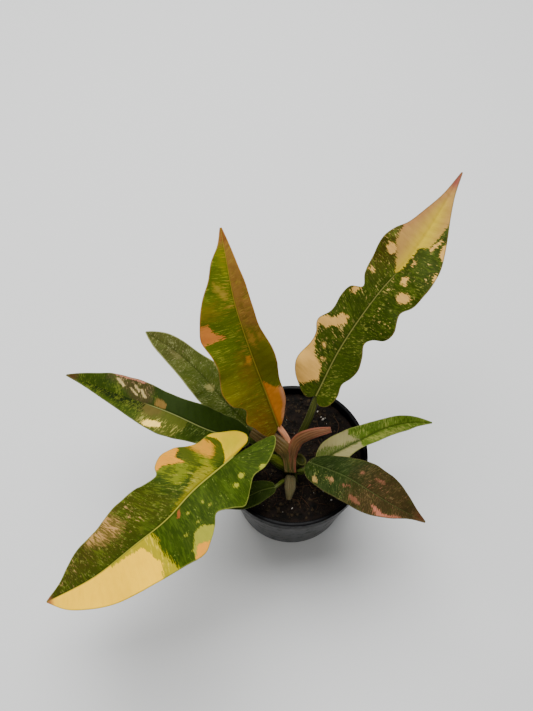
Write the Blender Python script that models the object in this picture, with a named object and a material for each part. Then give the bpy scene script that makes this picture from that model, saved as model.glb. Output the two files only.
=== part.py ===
"""Ring of fire philodendron in its nursery pot.

One short stem stands in the soil of a thin plastic pot and carries eight leaves and three
papery cataphylls. Each leaf is one solid: its petiole, its midrib and its lobed, waved blade.
The origin is the middle of the pot's underside, +Z is up, and -Y is the side facing the viewer.
"""
import math

import bpy
import bmesh
import numpy as np
from mathutils import Vector, noise

for old in list(bpy.data.objects):
    bpy.data.objects.remove(old, do_unlink=True)

# Every length below is in millimetres. MM turns them into the metres of the scene.
MM = 0.001
GAP = 0.3              # clear space left between two pieces that touch

# Pot: a 10.8 cm nursery pot of thin black plastic.
POT_HEIGHT = 86.0
POT_RIM_RADIUS = 54.0
POT_BASE_RADIUS = 42.4
POT_LIP_HEIGHT = 11.5
POT_LIP_STEP = 1.9     # how far the lip stands out from the wall below it
POT_WALL = 1.6
POT_FLOOR = 2.0
POT_SIDES = 48
DRAIN_HOLES = 6
DRAIN_RADIUS = 4.5
DRAIN_CIRCLE = 30.0

# Soil
SOIL_TOP = 79.0
SOIL_ROUGHNESS = 1.3   # height of the crumbs

# Stem, a stout column that every petiole and cataphyll starts from.
STEM_X, STEM_Y = -2.0, -13.0
STEM_BURIED = 50.0     # height of its lower end, inside the soil
STEM_TOP = 102.0
STEM_FOOT_RADIUS = 5.6
STEM_TOP_RADIUS = 4.6
STEM_SIDES = 16

# Blades
BLADE = 0.8            # thickness
RIB_DEPTH = 1.5        # how far the midrib stands out below the blade at its base
RIB_HALF_WIDTH = 1.7
KEEL = 1.5             # how wide the fold is rounded over the midrib
PETIOLE_SIDES = 8


def spline(points, count):
    """COUNT points at even distances along a smooth curve through POINTS."""
    p = np.asarray(points, float)
    p = np.vstack([2 * p[0] - p[1], p, 2 * p[-1] - p[-2]])
    t = np.linspace(0, 1, 24, endpoint=False)[:, None]
    runs = []
    for a, b, c, d in zip(p, p[1:], p[2:], p[3:]):
        runs.append(0.5 * (2 * b + (c - a) * t + (2 * a - 5 * b + 4 * c - d) * t ** 2
                           + (3 * b - a - 3 * c + d) * t ** 3))
    dense = np.vstack(runs + [p[-2:-1]])
    along = np.concatenate([[0], np.cumsum(np.linalg.norm(np.diff(dense, axis=0), axis=1))])
    at = np.linspace(0, along[-1], count)
    return np.stack([np.interp(at, along, column) for column in dense.T], 1), along[-1]


def unit(v):
    return v / np.linalg.norm(v, axis=-1, keepdims=True)


def material(name, rgb, roughness, metallic=0.0):
    m = bpy.data.materials.new(name)
    m.use_nodes = True
    shader = m.node_tree.nodes["Principled BSDF"]
    shader.inputs["Base Color"].default_value = (*rgb, 1.0)
    shader.inputs["Roughness"].default_value = roughness
    shader.inputs["Metallic"].default_value = metallic
    return m


def solid(name, verts, faces, finish):
    """A named object from vertices in millimetres, with its faces turned outward."""
    mesh = bpy.data.meshes.new(name)
    mesh.from_pydata([Vector(v) * MM for v in verts], [], faces)
    bm = bmesh.new()
    bm.from_mesh(mesh)
    bmesh.ops.remove_doubles(bm, verts=bm.verts, dist=0.00001)
    bmesh.ops.recalc_face_normals(bm, faces=bm.faces)
    bm.to_mesh(mesh)
    bm.free()
    mesh.materials.append(finish)
    mesh.shade_smooth()
    mesh.set_sharp_from_angle(angle=math.radians(50))
    obj = bpy.data.objects.new(name, mesh)
    bpy.context.collection.objects.link(obj)
    return obj


def boolean(target, tool, operation):
    """Cut or join TOOL with TARGET, apply it and drop the tool."""
    cut = target.modifiers.new(operation.lower(), "BOOLEAN")
    cut.object, cut.operation = tool, operation
    bpy.context.view_layer.update()
    done = target.evaluated_get(bpy.context.evaluated_depsgraph_get())
    mesh = bpy.data.meshes.new_from_object(done)
    target.modifiers.clear()
    target.data = mesh
    bpy.data.objects.remove(tool, do_unlink=True)


def column(name, rings, sides, finish, centre=(0, 0)):
    """A closed solid of revolution from (radius, height) rings, capped at both ends."""
    verts, faces = [], []
    for r, z in rings:
        verts += [(centre[0] + r * math.cos(2 * math.pi * k / sides),
                   centre[1] + r * math.sin(2 * math.pi * k / sides), z) for k in range(sides)]
    for i in range(len(rings) - 1):
        for k in range(sides):
            a, b = i * sides + k, i * sides + (k + 1) % sides
            faces.append((a, b, b + sides, a + sides))
    faces.append(tuple(range(sides))[::-1])
    faces.append(tuple(range(len(verts) - sides, len(verts))))
    return solid(name, verts, faces, finish)


def tube(name, path, radii, finish, sides=PETIOLE_SIDES, rings=10):
    """A tapering round stalk along a smooth PATH, with flat ends."""
    centre, _ = spline(path, rings)
    radius = np.interp(np.linspace(0, 1, rings), np.linspace(0, 1, len(radii)), radii)
    ahead = unit(np.gradient(centre, axis=0))
    side = unit(np.cross(ahead, (0.12, -0.99, 0.05)))
    over = np.cross(side, ahead)
    verts, faces = [], []
    for c, r, s, o in zip(centre, radius, side, over):
        for k in range(sides):
            turn = 2 * math.pi * k / sides
            verts.append(c + r * (s * math.cos(turn) + o * math.sin(turn)))
    for i in range(rings - 1):
        for k in range(sides):
            a, b = i * sides + k, i * sides + (k + 1) % sides
            faces.append((a, b, b + sides, a + sides))
    faces.append(tuple(range(sides)))
    faces.append(tuple(range(len(verts) - sides, len(verts))))
    return solid(name, verts, faces, finish)


def sheet(name, middle, across, above, below, finish):
    """A thin closed solid round a grid of points MIDDLE[row][column].

    ACROSS holds the unit normals there. The faces lie ABOVE and BELOW the grid by those
    distances, and both are split into triangles along the same diagonals.
    """
    rows, cols = middle.shape[:2]
    top = (middle + across * above[..., None]).reshape(-1, 3)
    bottom = (middle - across * below[..., None]).reshape(-1, 3)
    verts = np.vstack([top, bottom])
    under = rows * cols
    faces = []
    for i in range(rows - 1):
        for j in range(cols - 1):
            a = i * cols + j
            b, c, d = a + 1, a + cols, a + cols + 1
            cuts = [(a, b, d), (a, d, c)] if j < cols // 2 else [(a, b, c), (b, d, c)]
            for cut in cuts:
                faces.append(cut)
                faces.append(tuple(k + under for k in reversed(cut)))
    rim = [j for j in range(cols)]
    rim += [i * cols + cols - 1 for i in range(1, rows)]
    rim += [(rows - 1) * cols + j for j in range(cols - 2, -1, -1)]
    rim += [i * cols for i in range(rows - 2, 0, -1)]
    for a, b in zip(rim, rim[1:] + rim[:1]):
        faces.append((a, a + under, b + under))
        faces.append((a, b + under, b))
    return solid(name, verts, faces, finish)


class Midrib:
    """The curve that a blade is hung on, with a frame at each distance from its base."""

    def __init__(self, points, roll):
        self.curve, self.length = spline(points, 121)
        self.at = np.linspace(0, self.length, 121)
        self.ahead = unit(np.gradient(self.curve, axis=0))
        self.roll = roll

    def frame(self, v):
        """Point, side and normal at V mm from the base. A lobe runs back to V below 0."""
        on = np.clip(v, 0, self.length)
        point = np.stack([np.interp(on, self.at, c) for c in self.curve.T], -1)
        ahead = unit(np.stack([np.interp(on, self.at, c) for c in self.ahead.T], -1))
        point = point + ahead * (v - on)[..., None]
        side = unit(np.cross(ahead, (0, 0, 1)))
        normal = np.cross(side, ahead)
        turn = np.radians(np.interp(on / self.length, (0, 1), self.roll))[..., None]
        return (point, side * np.cos(turn) + normal * np.sin(turn),
                normal * np.cos(turn) - side * np.sin(turn))


def leaf(name, finish, midrib, left, right, petiole, girth, rows, roll=(0, 0), fold=(12, 12),
         camber=(0, 0), wave=1.5, wavelength=30, phase=0, lift=(0, 0), sweep=8, back=0):
    """Blade, midrib and petiole in one solid.

    LEFT and RIGHT are the two margins from the petiole round the lobe to the tip, as
    (distance along the midrib, distance out from it). FOLD raises each half like an open
    book, CAMBER curves it, WAVE ruffles the margin and LIFT raises the lobe behind the petiole.
    The blade covers the petiole's last BACK mm before the lobes part.
    """
    rib = Midrib(midrib, roll)
    step = np.linspace(0, 1, rows)
    edges = [spline(margin, rows)[0] * (rib.length / margin[-1][0], 1) for margin in (left, right)]
    # Each row of the blade leaves the midrib SWEEP behind where it meets the margin. The first
    # rows all leave it at its base and fan out over the lobes.
    start = np.minimum(edges[0][:, 0], edges[1][:, 0]) - sweep
    start = np.maximum.accumulate(np.clip(start + back, 0, None)) + step
    start = start * (rib.length + back) / start[-1] - back
    width = np.interp(step, (0, 0.1, 1), (0.8, 1, 0.25)) * RIB_HALF_WIDTH
    centre, _, up = rib.frame(start)
    middle, across = [centre], [up]
    for sign, edge, fold_, camber_, lift_ in ((-1, edges[0], fold[0], camber[0], lift[0]),
                                              (1, edges[1], fold[1], camber[1], lift[1])):
        half = edge[:, 1].max()
        reach = np.hypot(edge[:, 0] - start, edge[:, 1])
        for part in (np.minimum(width / reach, 0.4), 0.55, 1.0):
            v = start + (edge[:, 0] - start) * part
            out = edge[:, 1] * part
            point, side, normal = rib.frame(v)
            tilt = (math.radians(fold_) * np.abs(out) / (np.abs(out) + KEEL)
                    + math.radians(camber_) * out / half)
            ruffle = wave * (out / half) ** 2 * np.sin(
                2 * math.pi * v / wavelength + phase + sign * 0.9)
            behind = lift_ * (np.clip(-v - back, 0, None) / 30) ** 1.5
            point = (point + side * (sign * out * np.cos(tilt))[:, None]
                     + normal * (out * np.sin(tilt) + ruffle + behind)[:, None])
            facing = normal * np.cos(tilt)[:, None] - side * (sign * np.sin(tilt))[:, None]
            if sign < 0:
                middle.insert(0, point)
                across.insert(0, facing)
            else:
                middle.append(point)
                across.append(facing)
    middle, across = np.stack(middle, 1), np.stack(across, 1)
    above = np.full(middle.shape[:2], BLADE / 2)
    below = above.copy()
    below[:, 3] += RIB_DEPTH * np.interp(step, (0, 1), (1, 0.1))
    blade = sheet(name, middle, across, above, below, finish)
    # The petiole runs a little way along the underside, so the two are one body.
    seat, _, up = rib.frame(np.array([0.0, 7.0]))
    path = list(petiole) + [seat[0] - 0.8 * up[0], seat[1] - 1.2 * up[1]]
    stalk = tube(name + "_petiole", path, (girth * 1.2, girth, girth, girth * 0.95, 1.3), finish)
    boolean(stalk, stem_solid("clearance", GAP), "DIFFERENCE")
    boolean(blade, stalk, "UNION")
    return blade


def stem_side(turn, height, out=0.0):
    """A point OUT mm from the stem's side, at TURN degrees round it."""
    r = out + np.interp(height, (SOIL_TOP, STEM_TOP), (STEM_FOOT_RADIUS, STEM_TOP_RADIUS))
    return (STEM_X + r * math.cos(math.radians(turn)), STEM_Y + r * math.sin(math.radians(turn)),
            height + 0.45 * out)


def stem_solid(name, extra):
    """The stem with its stump and root tip, grown by EXTRA all round."""
    body = column(name, [(STEM_FOOT_RADIUS - 1.5 + extra, STEM_BURIED - extra),
                         (STEM_FOOT_RADIUS + extra, STEM_BURIED + 3),
                         (STEM_FOOT_RADIUS + extra, SOIL_TOP),
                         (STEM_TOP_RADIUS + extra, STEM_TOP - 1),
                         (STEM_TOP_RADIUS - 1 + extra, STEM_TOP + extra)],
                  STEM_SIDES, stem_green, (STEM_X, STEM_Y))
    stump = tube(name + "_stump", [(-1, -12.5, 90), (2, -11, 95), (5, -9.5, 100 + extra)],
                 (3.0 + extra, 3.8 + extra, 4.0 + extra), stem_green, sides=10, rings=5)
    boolean(body, stump, "UNION")
    root = tube(name + "_root", [(-0.8, -15.5, 95), (0.8, -18.5, 96), (2, -21.5, 93.5), (3.4, -24, 89)],
                (1.0 + extra, 0.8 + extra, 0.6 + extra, 0.4 + extra), stem_green, 6, 7)
    boolean(body, root, "UNION")
    return body


def cataphyll(name, finish, spine, open_to, widths, wrap, rows=11, cols=7):
    """A papery sheath: a tapering trough along SPINE that opens towards OPEN_TO."""
    centre, _ = spline(spine, rows)
    ahead = unit(np.gradient(centre, axis=0))
    towards = np.linspace(open_to[0], open_to[1], rows)
    side = unit(np.cross(ahead, towards))
    towards = np.cross(side, ahead)
    at = np.linspace(0, 1, rows)
    width = np.interp(at, np.linspace(0, 1, len(widths)), widths)
    arc = np.radians(np.interp(at, (0, 1), wrap))
    middle, across = [], []
    for turn in np.linspace(-0.5, 0.5, cols):
        bend = (arc * turn)[:, None]
        radius = (width / (2 * np.sin(arc / 2)))[:, None]
        middle.append(centre + radius * (side * np.sin(bend)
                                         - towards * (np.cos(bend) - np.cos(arc / 2)[:, None])))
        across.append(side * np.sin(bend) - towards * np.cos(bend))
    middle, across = np.stack(middle, 1), np.stack(across, 1)
    flat = np.full(middle.shape[:2], BLADE / 2)
    trough = sheet(name, middle, across, flat, flat, finish)
    boolean(trough, stem_solid("clearance", GAP), "DIFFERENCE")
    return trough


pot_black = material("black_plastic", (0.012, 0.013, 0.014), 0.42)
peat = material("peat_soil", (0.010, 0.006, 0.004), 0.95)
stem_green = material("stem_green", (0.07, 0.10, 0.02), 0.55)
olive = material("olive_leaf", (0.075, 0.13, 0.012), 0.42)
orange = material("orange_leaf", (0.26, 0.15, 0.010), 0.40)
yellow_green = material("yellow_green_leaf", (0.20, 0.26, 0.03), 0.42)
dark_green = material("dark_green_leaf", (0.025, 0.06, 0.008), 0.42)
cream_green = material("cream_green_leaf", (0.24, 0.30, 0.10), 0.42)
bronze = material("bronze_leaf", (0.08, 0.06, 0.02), 0.42)
rosy_brown = material("rosy_brown_cataphyll", (0.24, 0.10, 0.06), 0.55)
dry_straw = material("dry_straw_cataphyll", (0.22, 0.19, 0.11), 0.75)

# Pot: the outer shape from the underside up, less the hollow inside.
lip_foot = POT_HEIGHT - POT_LIP_HEIGHT
wall_top_radius = POT_RIM_RADIUS - 0.6 - POT_LIP_STEP
inner_top = POT_RIM_RADIUS - 2 * POT_WALL


def wall_inside(z):
    """Radius of the pot's inner wall at height Z."""
    return np.interp(z, (0, lip_foot, POT_HEIGHT - 1.0),
                     (POT_BASE_RADIUS - POT_WALL, wall_top_radius - POT_WALL, inner_top))


pot = column("pot", [
    (POT_BASE_RADIUS - 1.2, 0), (POT_BASE_RADIUS + 0.4, 2.5), (wall_top_radius, lip_foot - 0.4),
    (POT_RIM_RADIUS - 1.1, lip_foot), (POT_RIM_RADIUS - 0.6, lip_foot + 0.5),
    (POT_RIM_RADIUS, POT_HEIGHT - 0.8), (POT_RIM_RADIUS - 0.7, POT_HEIGHT)], POT_SIDES, pot_black)
hollow = column("hollow", [
    (wall_inside(POT_FLOOR), POT_FLOOR), (wall_inside(lip_foot), lip_foot),
    (inner_top, POT_HEIGHT - 1.0), (inner_top + 1.6, POT_HEIGHT + 1.0)], POT_SIDES, pot_black)
boolean(pot, hollow, "DIFFERENCE")
for k in range(DRAIN_HOLES):
    turn = 2 * math.pi * (k + 0.5) / DRAIN_HOLES
    drill = column("drill", [(DRAIN_RADIUS, -5), (DRAIN_RADIUS, POT_FLOOR + 5)], 12, pot_black,
                   (DRAIN_CIRCLE * math.cos(turn), DRAIN_CIRCLE * math.sin(turn)))
    boolean(pot, drill, "DIFFERENCE")

# Soil: a plug that fills the pot, with a crumbly top and a plain hole for the stem.
verts, faces = [], []
soil_rings = [(1.0, POT_FLOOR + GAP), (1.0, lip_foot), (1.0, SOIL_TOP - 2.0)]
soil_rings += [(part, SOIL_TOP) for part in (0.97, 0.86, 0.74, 0.62, 0.50, 0.38, 0.26, 0.13)]
for i, (part, z) in enumerate(soil_rings):
    for k in range(POT_SIDES):
        turn = 2 * math.pi * k / POT_SIDES
        r = part * (wall_inside(z) - GAP)
        x, y = r * math.cos(turn), r * math.sin(turn)
        crumb = noise.noise((x / 7, y / 7, 3.1)) + 0.5 * noise.noise((x / 3, y / 3, 8.4))
        verts.append((x, y, z + (SOIL_ROUGHNESS * crumb if i > 2 else 0)))
for i in range(len(soil_rings) - 1):
    for k in range(POT_SIDES):
        a, b = i * POT_SIDES + k, i * POT_SIDES + (k + 1) % POT_SIDES
        faces += [(a, b, b + POT_SIDES), (a, b + POT_SIDES, a + POT_SIDES)]
faces.append(tuple(range(POT_SIDES)))
crown = len(verts)
verts.append((0, 0, SOIL_TOP))
last = crown - POT_SIDES
faces += [(last + k, last + (k + 1) % POT_SIDES, crown) for k in range(POT_SIDES)]
soil = solid("soil", verts, faces, peat)
socket = column("socket", [(STEM_FOOT_RADIUS + GAP, STEM_BURIED - GAP),
                           (STEM_FOOT_RADIUS + GAP, SOIL_TOP + 10)],
                STEM_SIDES, peat, (STEM_X, STEM_Y))
boolean(soil, socket, "DIFFERENCE")

# Stem, with the stump of a leaf that was cut away and a short dry root tip.
stem = stem_solid("stem", 0.0)

# Leaves, from the back right round to the front right, then the two small ones.
leaf("leaf_back_right", olive, rows=38, girth=2.7, fold=(8, 8), wave=2.2, wavelength=34,
     midrib=[(15, 25, 132), (31, 49, 158), (53, 73, 184), (76, 94, 203), (96, 122, 215),
             (110, 146, 222)],
     left=[(-1, 0.6), (-4, 6), (0, 13), (9, 20), (20, 23), (31, 20), (39, 20), (47, 23),
           (56, 19), (67, 20), (76, 18), (81, 11), (88, 16), (99, 20), (112, 22), (125, 20),
           (135, 14), (148, 9), (164, 4), (182, 0.5)],
     right=[(-1, 0.6), (-5, 5), (-2, 11), (7, 14), (16, 13), (24, 17), (33, 19), (42, 17),
            (50, 13), (56, 16), (62, 24), (71, 26), (82, 21), (92, 25), (104, 26), (116, 23),
            (132, 16), (148, 9), (164, 3.5), (182, 0.5)],
     petiole=[stem_side(75, 93, -3), stem_side(75, 96, 4), (5.2, 5, 110), (11.2, 15, 121)])

leaf("leaf_back_middle", orange, rows=36, girth=2.6, roll=(10, 10), fold=(18, 50), wave=1.8,
     wavelength=32, phase=1.0,
     midrib=[(-11, 7, 120), (-20, 20, 150), (-30, 36, 180), (-39, 55, 205), (-44, 75, 222),
             (-48, 95, 232)],
     left=[(-1, 1), (-4, 5), (-2, 10), (5, 14), (13, 17), (20, 21), (28, 18), (34, 20),
           (41, 26), (51, 29), (60, 27), (69, 25), (78, 26), (88, 29), (98, 26), (110, 20),
           (120, 14), (131, 10), (141, 4), (152, 0.5)],
     right=[(-1, 0.8), (3, 3.5), (15, 9), (31, 14), (46, 15), (62, 18), (72, 19), (88, 14.5),
            (103, 15), (117, 14), (128, 9.5), (140, 5), (152, 0.5)],
     petiole=[(-2, -12, STEM_TOP - 3), (-2.6, -6.5, 103), (-4.5, 0.6, 108.5), (-7.7, 4.8, 114)])

leaf("leaf_back_left", dark_green, rows=24, girth=2.0, fold=(12, 12), wave=1.0, wavelength=36,
     midrib=[(-33, 16, 101), (-48, 29, 111), (-66, 47, 121), (-84, 62, 127), (-106, 77, 128)],
     left=[(-1, 1), (1, 5), (10, 10), (22, 13), (36, 15), (50, 15), (64, 13), (77, 11),
           (89, 8), (98, 4), (104, 0.5)],
     right=[(-1, 1), (1, 5), (10, 10), (22, 14), (36, 15), (50, 13), (64, 10), (77, 9),
            (89, 7.5), (98, 4), (104, 0.5)],
     petiole=[stem_side(120, 84, -3), stem_side(120, 86, 4), (-16, 3, 92), (-26, 11, 97)])

leaf("leaf_left", dark_green, rows=28, girth=2.2, fold=(12, 12), wave=1.3, wavelength=40,
     midrib=[(-32, 4, 107), (-56, 3, 120), (-87, 14, 129), (-123, 28, 129), (-162, 47, 119)],
     left=[(-1, 1), (1, 6), (10, 11), (22, 13), (34, 13), (43, 15), (52, 18), (61, 19),
           (72, 17), (84, 14), (98, 10), (114, 6), (128, 3), (143, 0.5)],
     right=[(-1, 1), (1, 6), (10, 12), (24, 15), (38, 15), (52, 13), (66, 13), (80, 14),
            (94, 14), (107, 13), (119, 9), (132, 5), (143, 0.5)],
     petiole=[stem_side(165, 88, -3), stem_side(165, 89, 4), (-17, -6, 94.5), (-25, 0, 101)])

leaf("leaf_front_left", yellow_green, rows=44, girth=2.9, fold=(8, 8), wave=1.8,
     wavelength=38, lift=(7, 0), sweep=10, back=8,
     midrib=[(-48, -28, 138), (-66, -47, 144), (-83, -66, 142), (-103, -80, 134),
             (-131, -96, 115), (-165, -107, 92)],
     left=[(-9, 0.2), (-22, 3.2), (-31, 6), (-38, 10), (-34, 15), (-26, 19),
           (-18, 21), (-9, 20), (0, 25), (8, 30), (14, 32), (20, 27), (28, 22), (36, 27),
           (44, 32), (50, 35), (60, 32), (72, 30), (88, 28), (106, 24), (124, 18), (142, 11),
           (158, 0.5)],
     right=[(-9, 0.05), (-21, 0.9), (-26, 2), (-28.5, 6), (-25, 12), (-18, 17),
            (-9, 22), (2, 22), (10, 25), (17, 30), (25, 32), (32, 29), (36, 24), (46, 26), (58, 29),
            (72, 28), (88, 25), (106, 23), (122, 20), (133, 15), (144, 7), (158, 0.5)],
     petiole=[stem_side(200, 97, -3), (-9.8, -12, 101.3), (-17.5, -11, 106.9), (-36, -18.5, 124)])

leaf("leaf_right", cream_green, rows=22, girth=1.8, fold=(12, 12), wave=0.9, wavelength=28,
     midrib=[(17, -13, 101), (29, -7, 106), (46, 1, 109), (64, 10, 109), (82, 16, 105),
             (100, 19, 98)],
     left=[(-1, 1), (2, 6), (9, 10), (17, 11), (28, 11), (40, 9), (54, 7), (68, 6), (80, 4),
           (93, 0.5)],
     right=[(-1, 1), (3, 4), (9, 7), (17, 9), (25, 7), (34, 6), (46, 7), (58, 7), (70, 6),
            (80, 3.5), (93, 0.5)],
     petiole=[stem_side(345, 85, -3), stem_side(345, 87, 3), (10, -14, 94), (14, -13.5, 98)])

leaf("leaf_front_right", bronze, rows=24, girth=1.9, fold=(12, 12), wave=1.0, wavelength=34,
     midrib=[(11, -15, 108), (25, -23, 114), (38, -30, 116), (65, -46, 111), (89, -55, 100)],
     left=[(-1, 1), (1, 4), (8, 8), (18, 11), (28, 14), (38, 17), (50, 17), (62, 16),
           (73, 11), (83, 5), (92, 0.5)],
     right=[(-1, 1), (-2, 4), (0, 8), (6, 13), (16, 16), (28, 18), (40, 18), (52, 16),
            (64, 11), (78, 4), (92, 0.5)],
     petiole=[stem_side(335, 92, -3), stem_side(335, 94, 3), (7.5, -17.3, 99), (10, -16.5, 104)])

leaf("leaf_small_low", dark_green, rows=14, girth=1.5, fold=(8, 8), wave=0.5,
     midrib=[(-14, -30, 99), (-23, -33, 101), (-34, -38, 100), (-49, -44, 95)],
     left=[(-0.8, 0.8), (1, 4), (8, 7), (16, 8.5), (26, 7), (34, 3), (39, 0.5)],
     right=[(-0.8, 0.8), (0, 3.5), (6, 6), (14, 8), (23, 8), (32, 5), (39, 0.5)],
     petiole=[stem_side(250, 86, -3), stem_side(250, 88, 3), (-8.5, -24.5, 94), (-11, -27.5, 97)])

# Cataphylls: the sheath that the newest leaf pushed open, and an old dry one below it. The
# open sheath has a broad arm to the left and a narrower one that ends as a horn.
open_sheath = cataphyll("cataphyll_open", rosy_brown,
                        [(-3.5, -18.7, 99.6), (-4.7, -10.5, 106), (-7, -6.5, 110.5),
                         (-12.6, -1.9, 111.5), (-22.3, 3.8, 112), (-29, 7.9, 112)],
                        [(0, 1, -0.3), (0, 0.5, -0.9)], (5.5, 6.2, 11.3, 12, 13, 10), (80, 40))
horn = cataphyll("horn", rosy_brown,
                 [(-1.2, -19, 99.2), (-1, -10.7, 107), (-0.3, -6.3, 112.5),
                  (3.2, -1.8, 117.5), (12.2, 0.3, 123.5), (24.7, 1, 129)],
                 [(0, 1, -0.3), (0, 0.5, -0.9)], (4.5, 4.5, 8.5, 8.8, 6.6, 3.6), (80, 60))
boolean(open_sheath, horn, "UNION")
cataphyll("cataphyll_dry", dry_straw,
          [(-2, -19.9, 94.5), (-2.5, -25, 100), (-3, -32, 103.5), (-4, -40, 102)],
          [(0.0, 0.5, -1.0), (0.0, 0.2, -1.0)], (5.5, 8, 7.5, 2.5), (70, 60), rows=9, cols=5)
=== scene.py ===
# %% [markdown]
# # A variegated philodendron in its nursery pot
#
# The plant has a short stem, eight leaves and two papery sheaths, one of them split in two. It
# stands in dark potting soil in a thin black pot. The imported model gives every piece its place
# and its plain form. This script dresses each piece: finer meshes first, then materials made of
# nodes.

# %% Load the frame
import math
import random
import statistics

import bpy
import numpy as np
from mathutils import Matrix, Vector, noise


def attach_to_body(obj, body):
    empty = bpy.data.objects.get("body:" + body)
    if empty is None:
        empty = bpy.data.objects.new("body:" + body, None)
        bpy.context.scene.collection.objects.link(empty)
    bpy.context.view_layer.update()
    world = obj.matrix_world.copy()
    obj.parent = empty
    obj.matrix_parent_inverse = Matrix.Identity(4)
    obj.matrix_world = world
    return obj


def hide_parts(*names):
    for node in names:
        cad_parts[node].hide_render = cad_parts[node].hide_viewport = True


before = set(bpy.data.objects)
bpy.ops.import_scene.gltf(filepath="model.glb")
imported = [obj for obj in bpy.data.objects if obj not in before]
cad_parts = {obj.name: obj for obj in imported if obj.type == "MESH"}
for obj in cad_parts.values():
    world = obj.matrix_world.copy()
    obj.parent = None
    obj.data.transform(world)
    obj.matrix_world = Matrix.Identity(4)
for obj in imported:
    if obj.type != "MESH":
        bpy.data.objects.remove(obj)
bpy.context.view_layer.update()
MM = 0.001

# %% [markdown]
# ## Camera
#
# The photograph looks down on the plant at a steep slant. A camera is a lens and a place: the
# focal length and the pitch below were worked out from the pot's rim, which is a known circle.

# %% Camera
CAMERA_PLACE = (-0.0192, -0.229, 0.6983)      # m
CAMERA_PITCH = 63.3                           # degrees below the horizon
LENS, SENSOR = 45.57, 36                      # focal length and width of the sensor, mm
camera_data = bpy.data.cameras.new("camera")
camera_data.lens, camera_data.sensor_width = LENS, SENSOR
camera = bpy.data.objects.new("camera", camera_data)
camera.location = CAMERA_PLACE
camera.rotation_euler = (math.radians(90 - CAMERA_PITCH), 0, 0)
bpy.context.scene.collection.objects.link(camera)
bpy.context.scene.camera = camera
print("camera", tuple(camera.location))

# %% [markdown]
# ## Small tools for materials
#
# Colours are picked on screen as sRGB hex values, but a renderer adds light, so it needs linear
# values. One function turns the first into the second. Another adds a shader node with its
# settings and links, so that a material reads from top to bottom like a recipe.


# %% Colour and node helpers
def rgb(code):
    """Linear RGBA of an sRGB hex colour such as #7a8f2c."""
    parts = [int(code[i:i + 2], 16) / 255 for i in (1, 3, 5)]
    return tuple(c / 12.92 if c <= 0.04045 else ((c + 0.055) / 1.055) ** 2.4 for c in parts) + (1.0,)


def node(tree, kind, inputs=None, out=0, **settings):
    """Add one node. INPUTS holds a value or a socket to link for each input. Gives an output."""
    new = tree.nodes.new("ShaderNode" + kind)
    for key, value in settings.items():
        setattr(new, key, value)
    for key, value in (inputs or {}).items():
        if isinstance(value, bpy.types.NodeSocket):
            tree.links.new(value, new.inputs[key])
        else:
            new.inputs[key].default_value = value
    return new.outputs[out]


def start_material(name, **surface):
    """A new material's node tree and its Principled shader, with plain values set on its sockets."""
    made = bpy.data.materials.new(name)
    made.use_nodes = True
    shader = made.node_tree.nodes["Principled BSDF"]
    for key, value in surface.items():
        shader.inputs[key.replace("_", " ")].default_value = value
    return made, made.node_tree, shader


print("hex #808080 is linear", round(rgb("#808080")[0], 3))

# %% [markdown]
# ## Small tools for meshes
#
# A leaf is a sheet, and a stalk is a sheet rolled up. Both start from Blender's grid primitive,
# which comes with its rows and columns of vertices in order. Code then moves each vertex to its
# place. This gives even quads that follow the veins, which sculpting by hand wouldn't.


# %% Curves and grids
def spline(points, count):
    """COUNT points at even distances along a smooth curve through POINTS."""
    p = np.asarray(points, float)
    p = np.vstack([2 * p[0] - p[1], p, 2 * p[-1] - p[-2]])
    t = np.linspace(0, 1, 24, endpoint=False)[:, None]
    # Catmull-Rom: between b and c the curve is a cubic that also looks at a and d.
    runs = [0.5 * (2 * b + (c - a) * t + (2 * a - 5 * b + 4 * c - d) * t ** 2
                   + (3 * b - a - 3 * c + d) * t ** 3)
            for a, b, c, d in zip(p, p[1:], p[2:], p[3:])]
    dense = np.vstack(runs + [p[-2:-1]])
    along = np.concatenate([[0], np.cumsum(np.linalg.norm(np.diff(dense, axis=0), axis=1))])
    at = np.linspace(0, along[-1], count)
    return np.stack([np.interp(at, along, column) for column in dense.T], 1), along[-1]


def unit(v):
    """Each vector of V with a length of one."""
    return v / np.linalg.norm(v, axis=-1, keepdims=True)


def grid(name, rows, columns):
    """A grid primitive, with the row and the column of each of its vertices."""
    bpy.ops.object.select_all(action="DESELECT")
    bpy.ops.mesh.primitive_grid_add(x_subdivisions=columns - 1, y_subdivisions=rows - 1, size=1)
    obj = bpy.context.object
    obj.name = obj.data.name = name
    flat = points_of(obj) / MM
    column = np.rint((flat[:, 0] / np.ptp(flat[:, 0]) + 0.5) * (columns - 1)).astype(int)
    row = np.rint((flat[:, 1] / np.ptp(flat[:, 1]) + 0.5) * (rows - 1)).astype(int)
    return obj, row, column


def points_of(obj):
    """The vertices of OBJ in millimetres."""
    flat = np.zeros(len(obj.data.vertices) * 3)
    obj.data.vertices.foreach_get("co", flat)
    return flat.reshape(-1, 3) / MM


def move_points(obj, points):
    """Put the vertices of OBJ at POINTS, in millimetres."""
    obj.data.vertices.foreach_set("co", (np.asarray(points) * MM).ravel())
    obj.data.update()


def attach(obj, name, values):
    """Store VALUES on the vertices of OBJ, one number or one vector each, for its material."""
    kind = "FLOAT" if values.ndim == 1 else "FLOAT_VECTOR"
    field = "value" if values.ndim == 1 else "vector"
    layer = obj.data.attributes.new(name, kind, "POINT")
    layer.data.foreach_set(field, np.ascontiguousarray(values, dtype=np.float32).ravel())


def activate(obj):
    """Select OBJ alone and make it the active object."""
    bpy.ops.object.select_all(action="DESELECT")
    obj.select_set(True)
    bpy.context.view_layer.objects.active = obj


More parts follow.
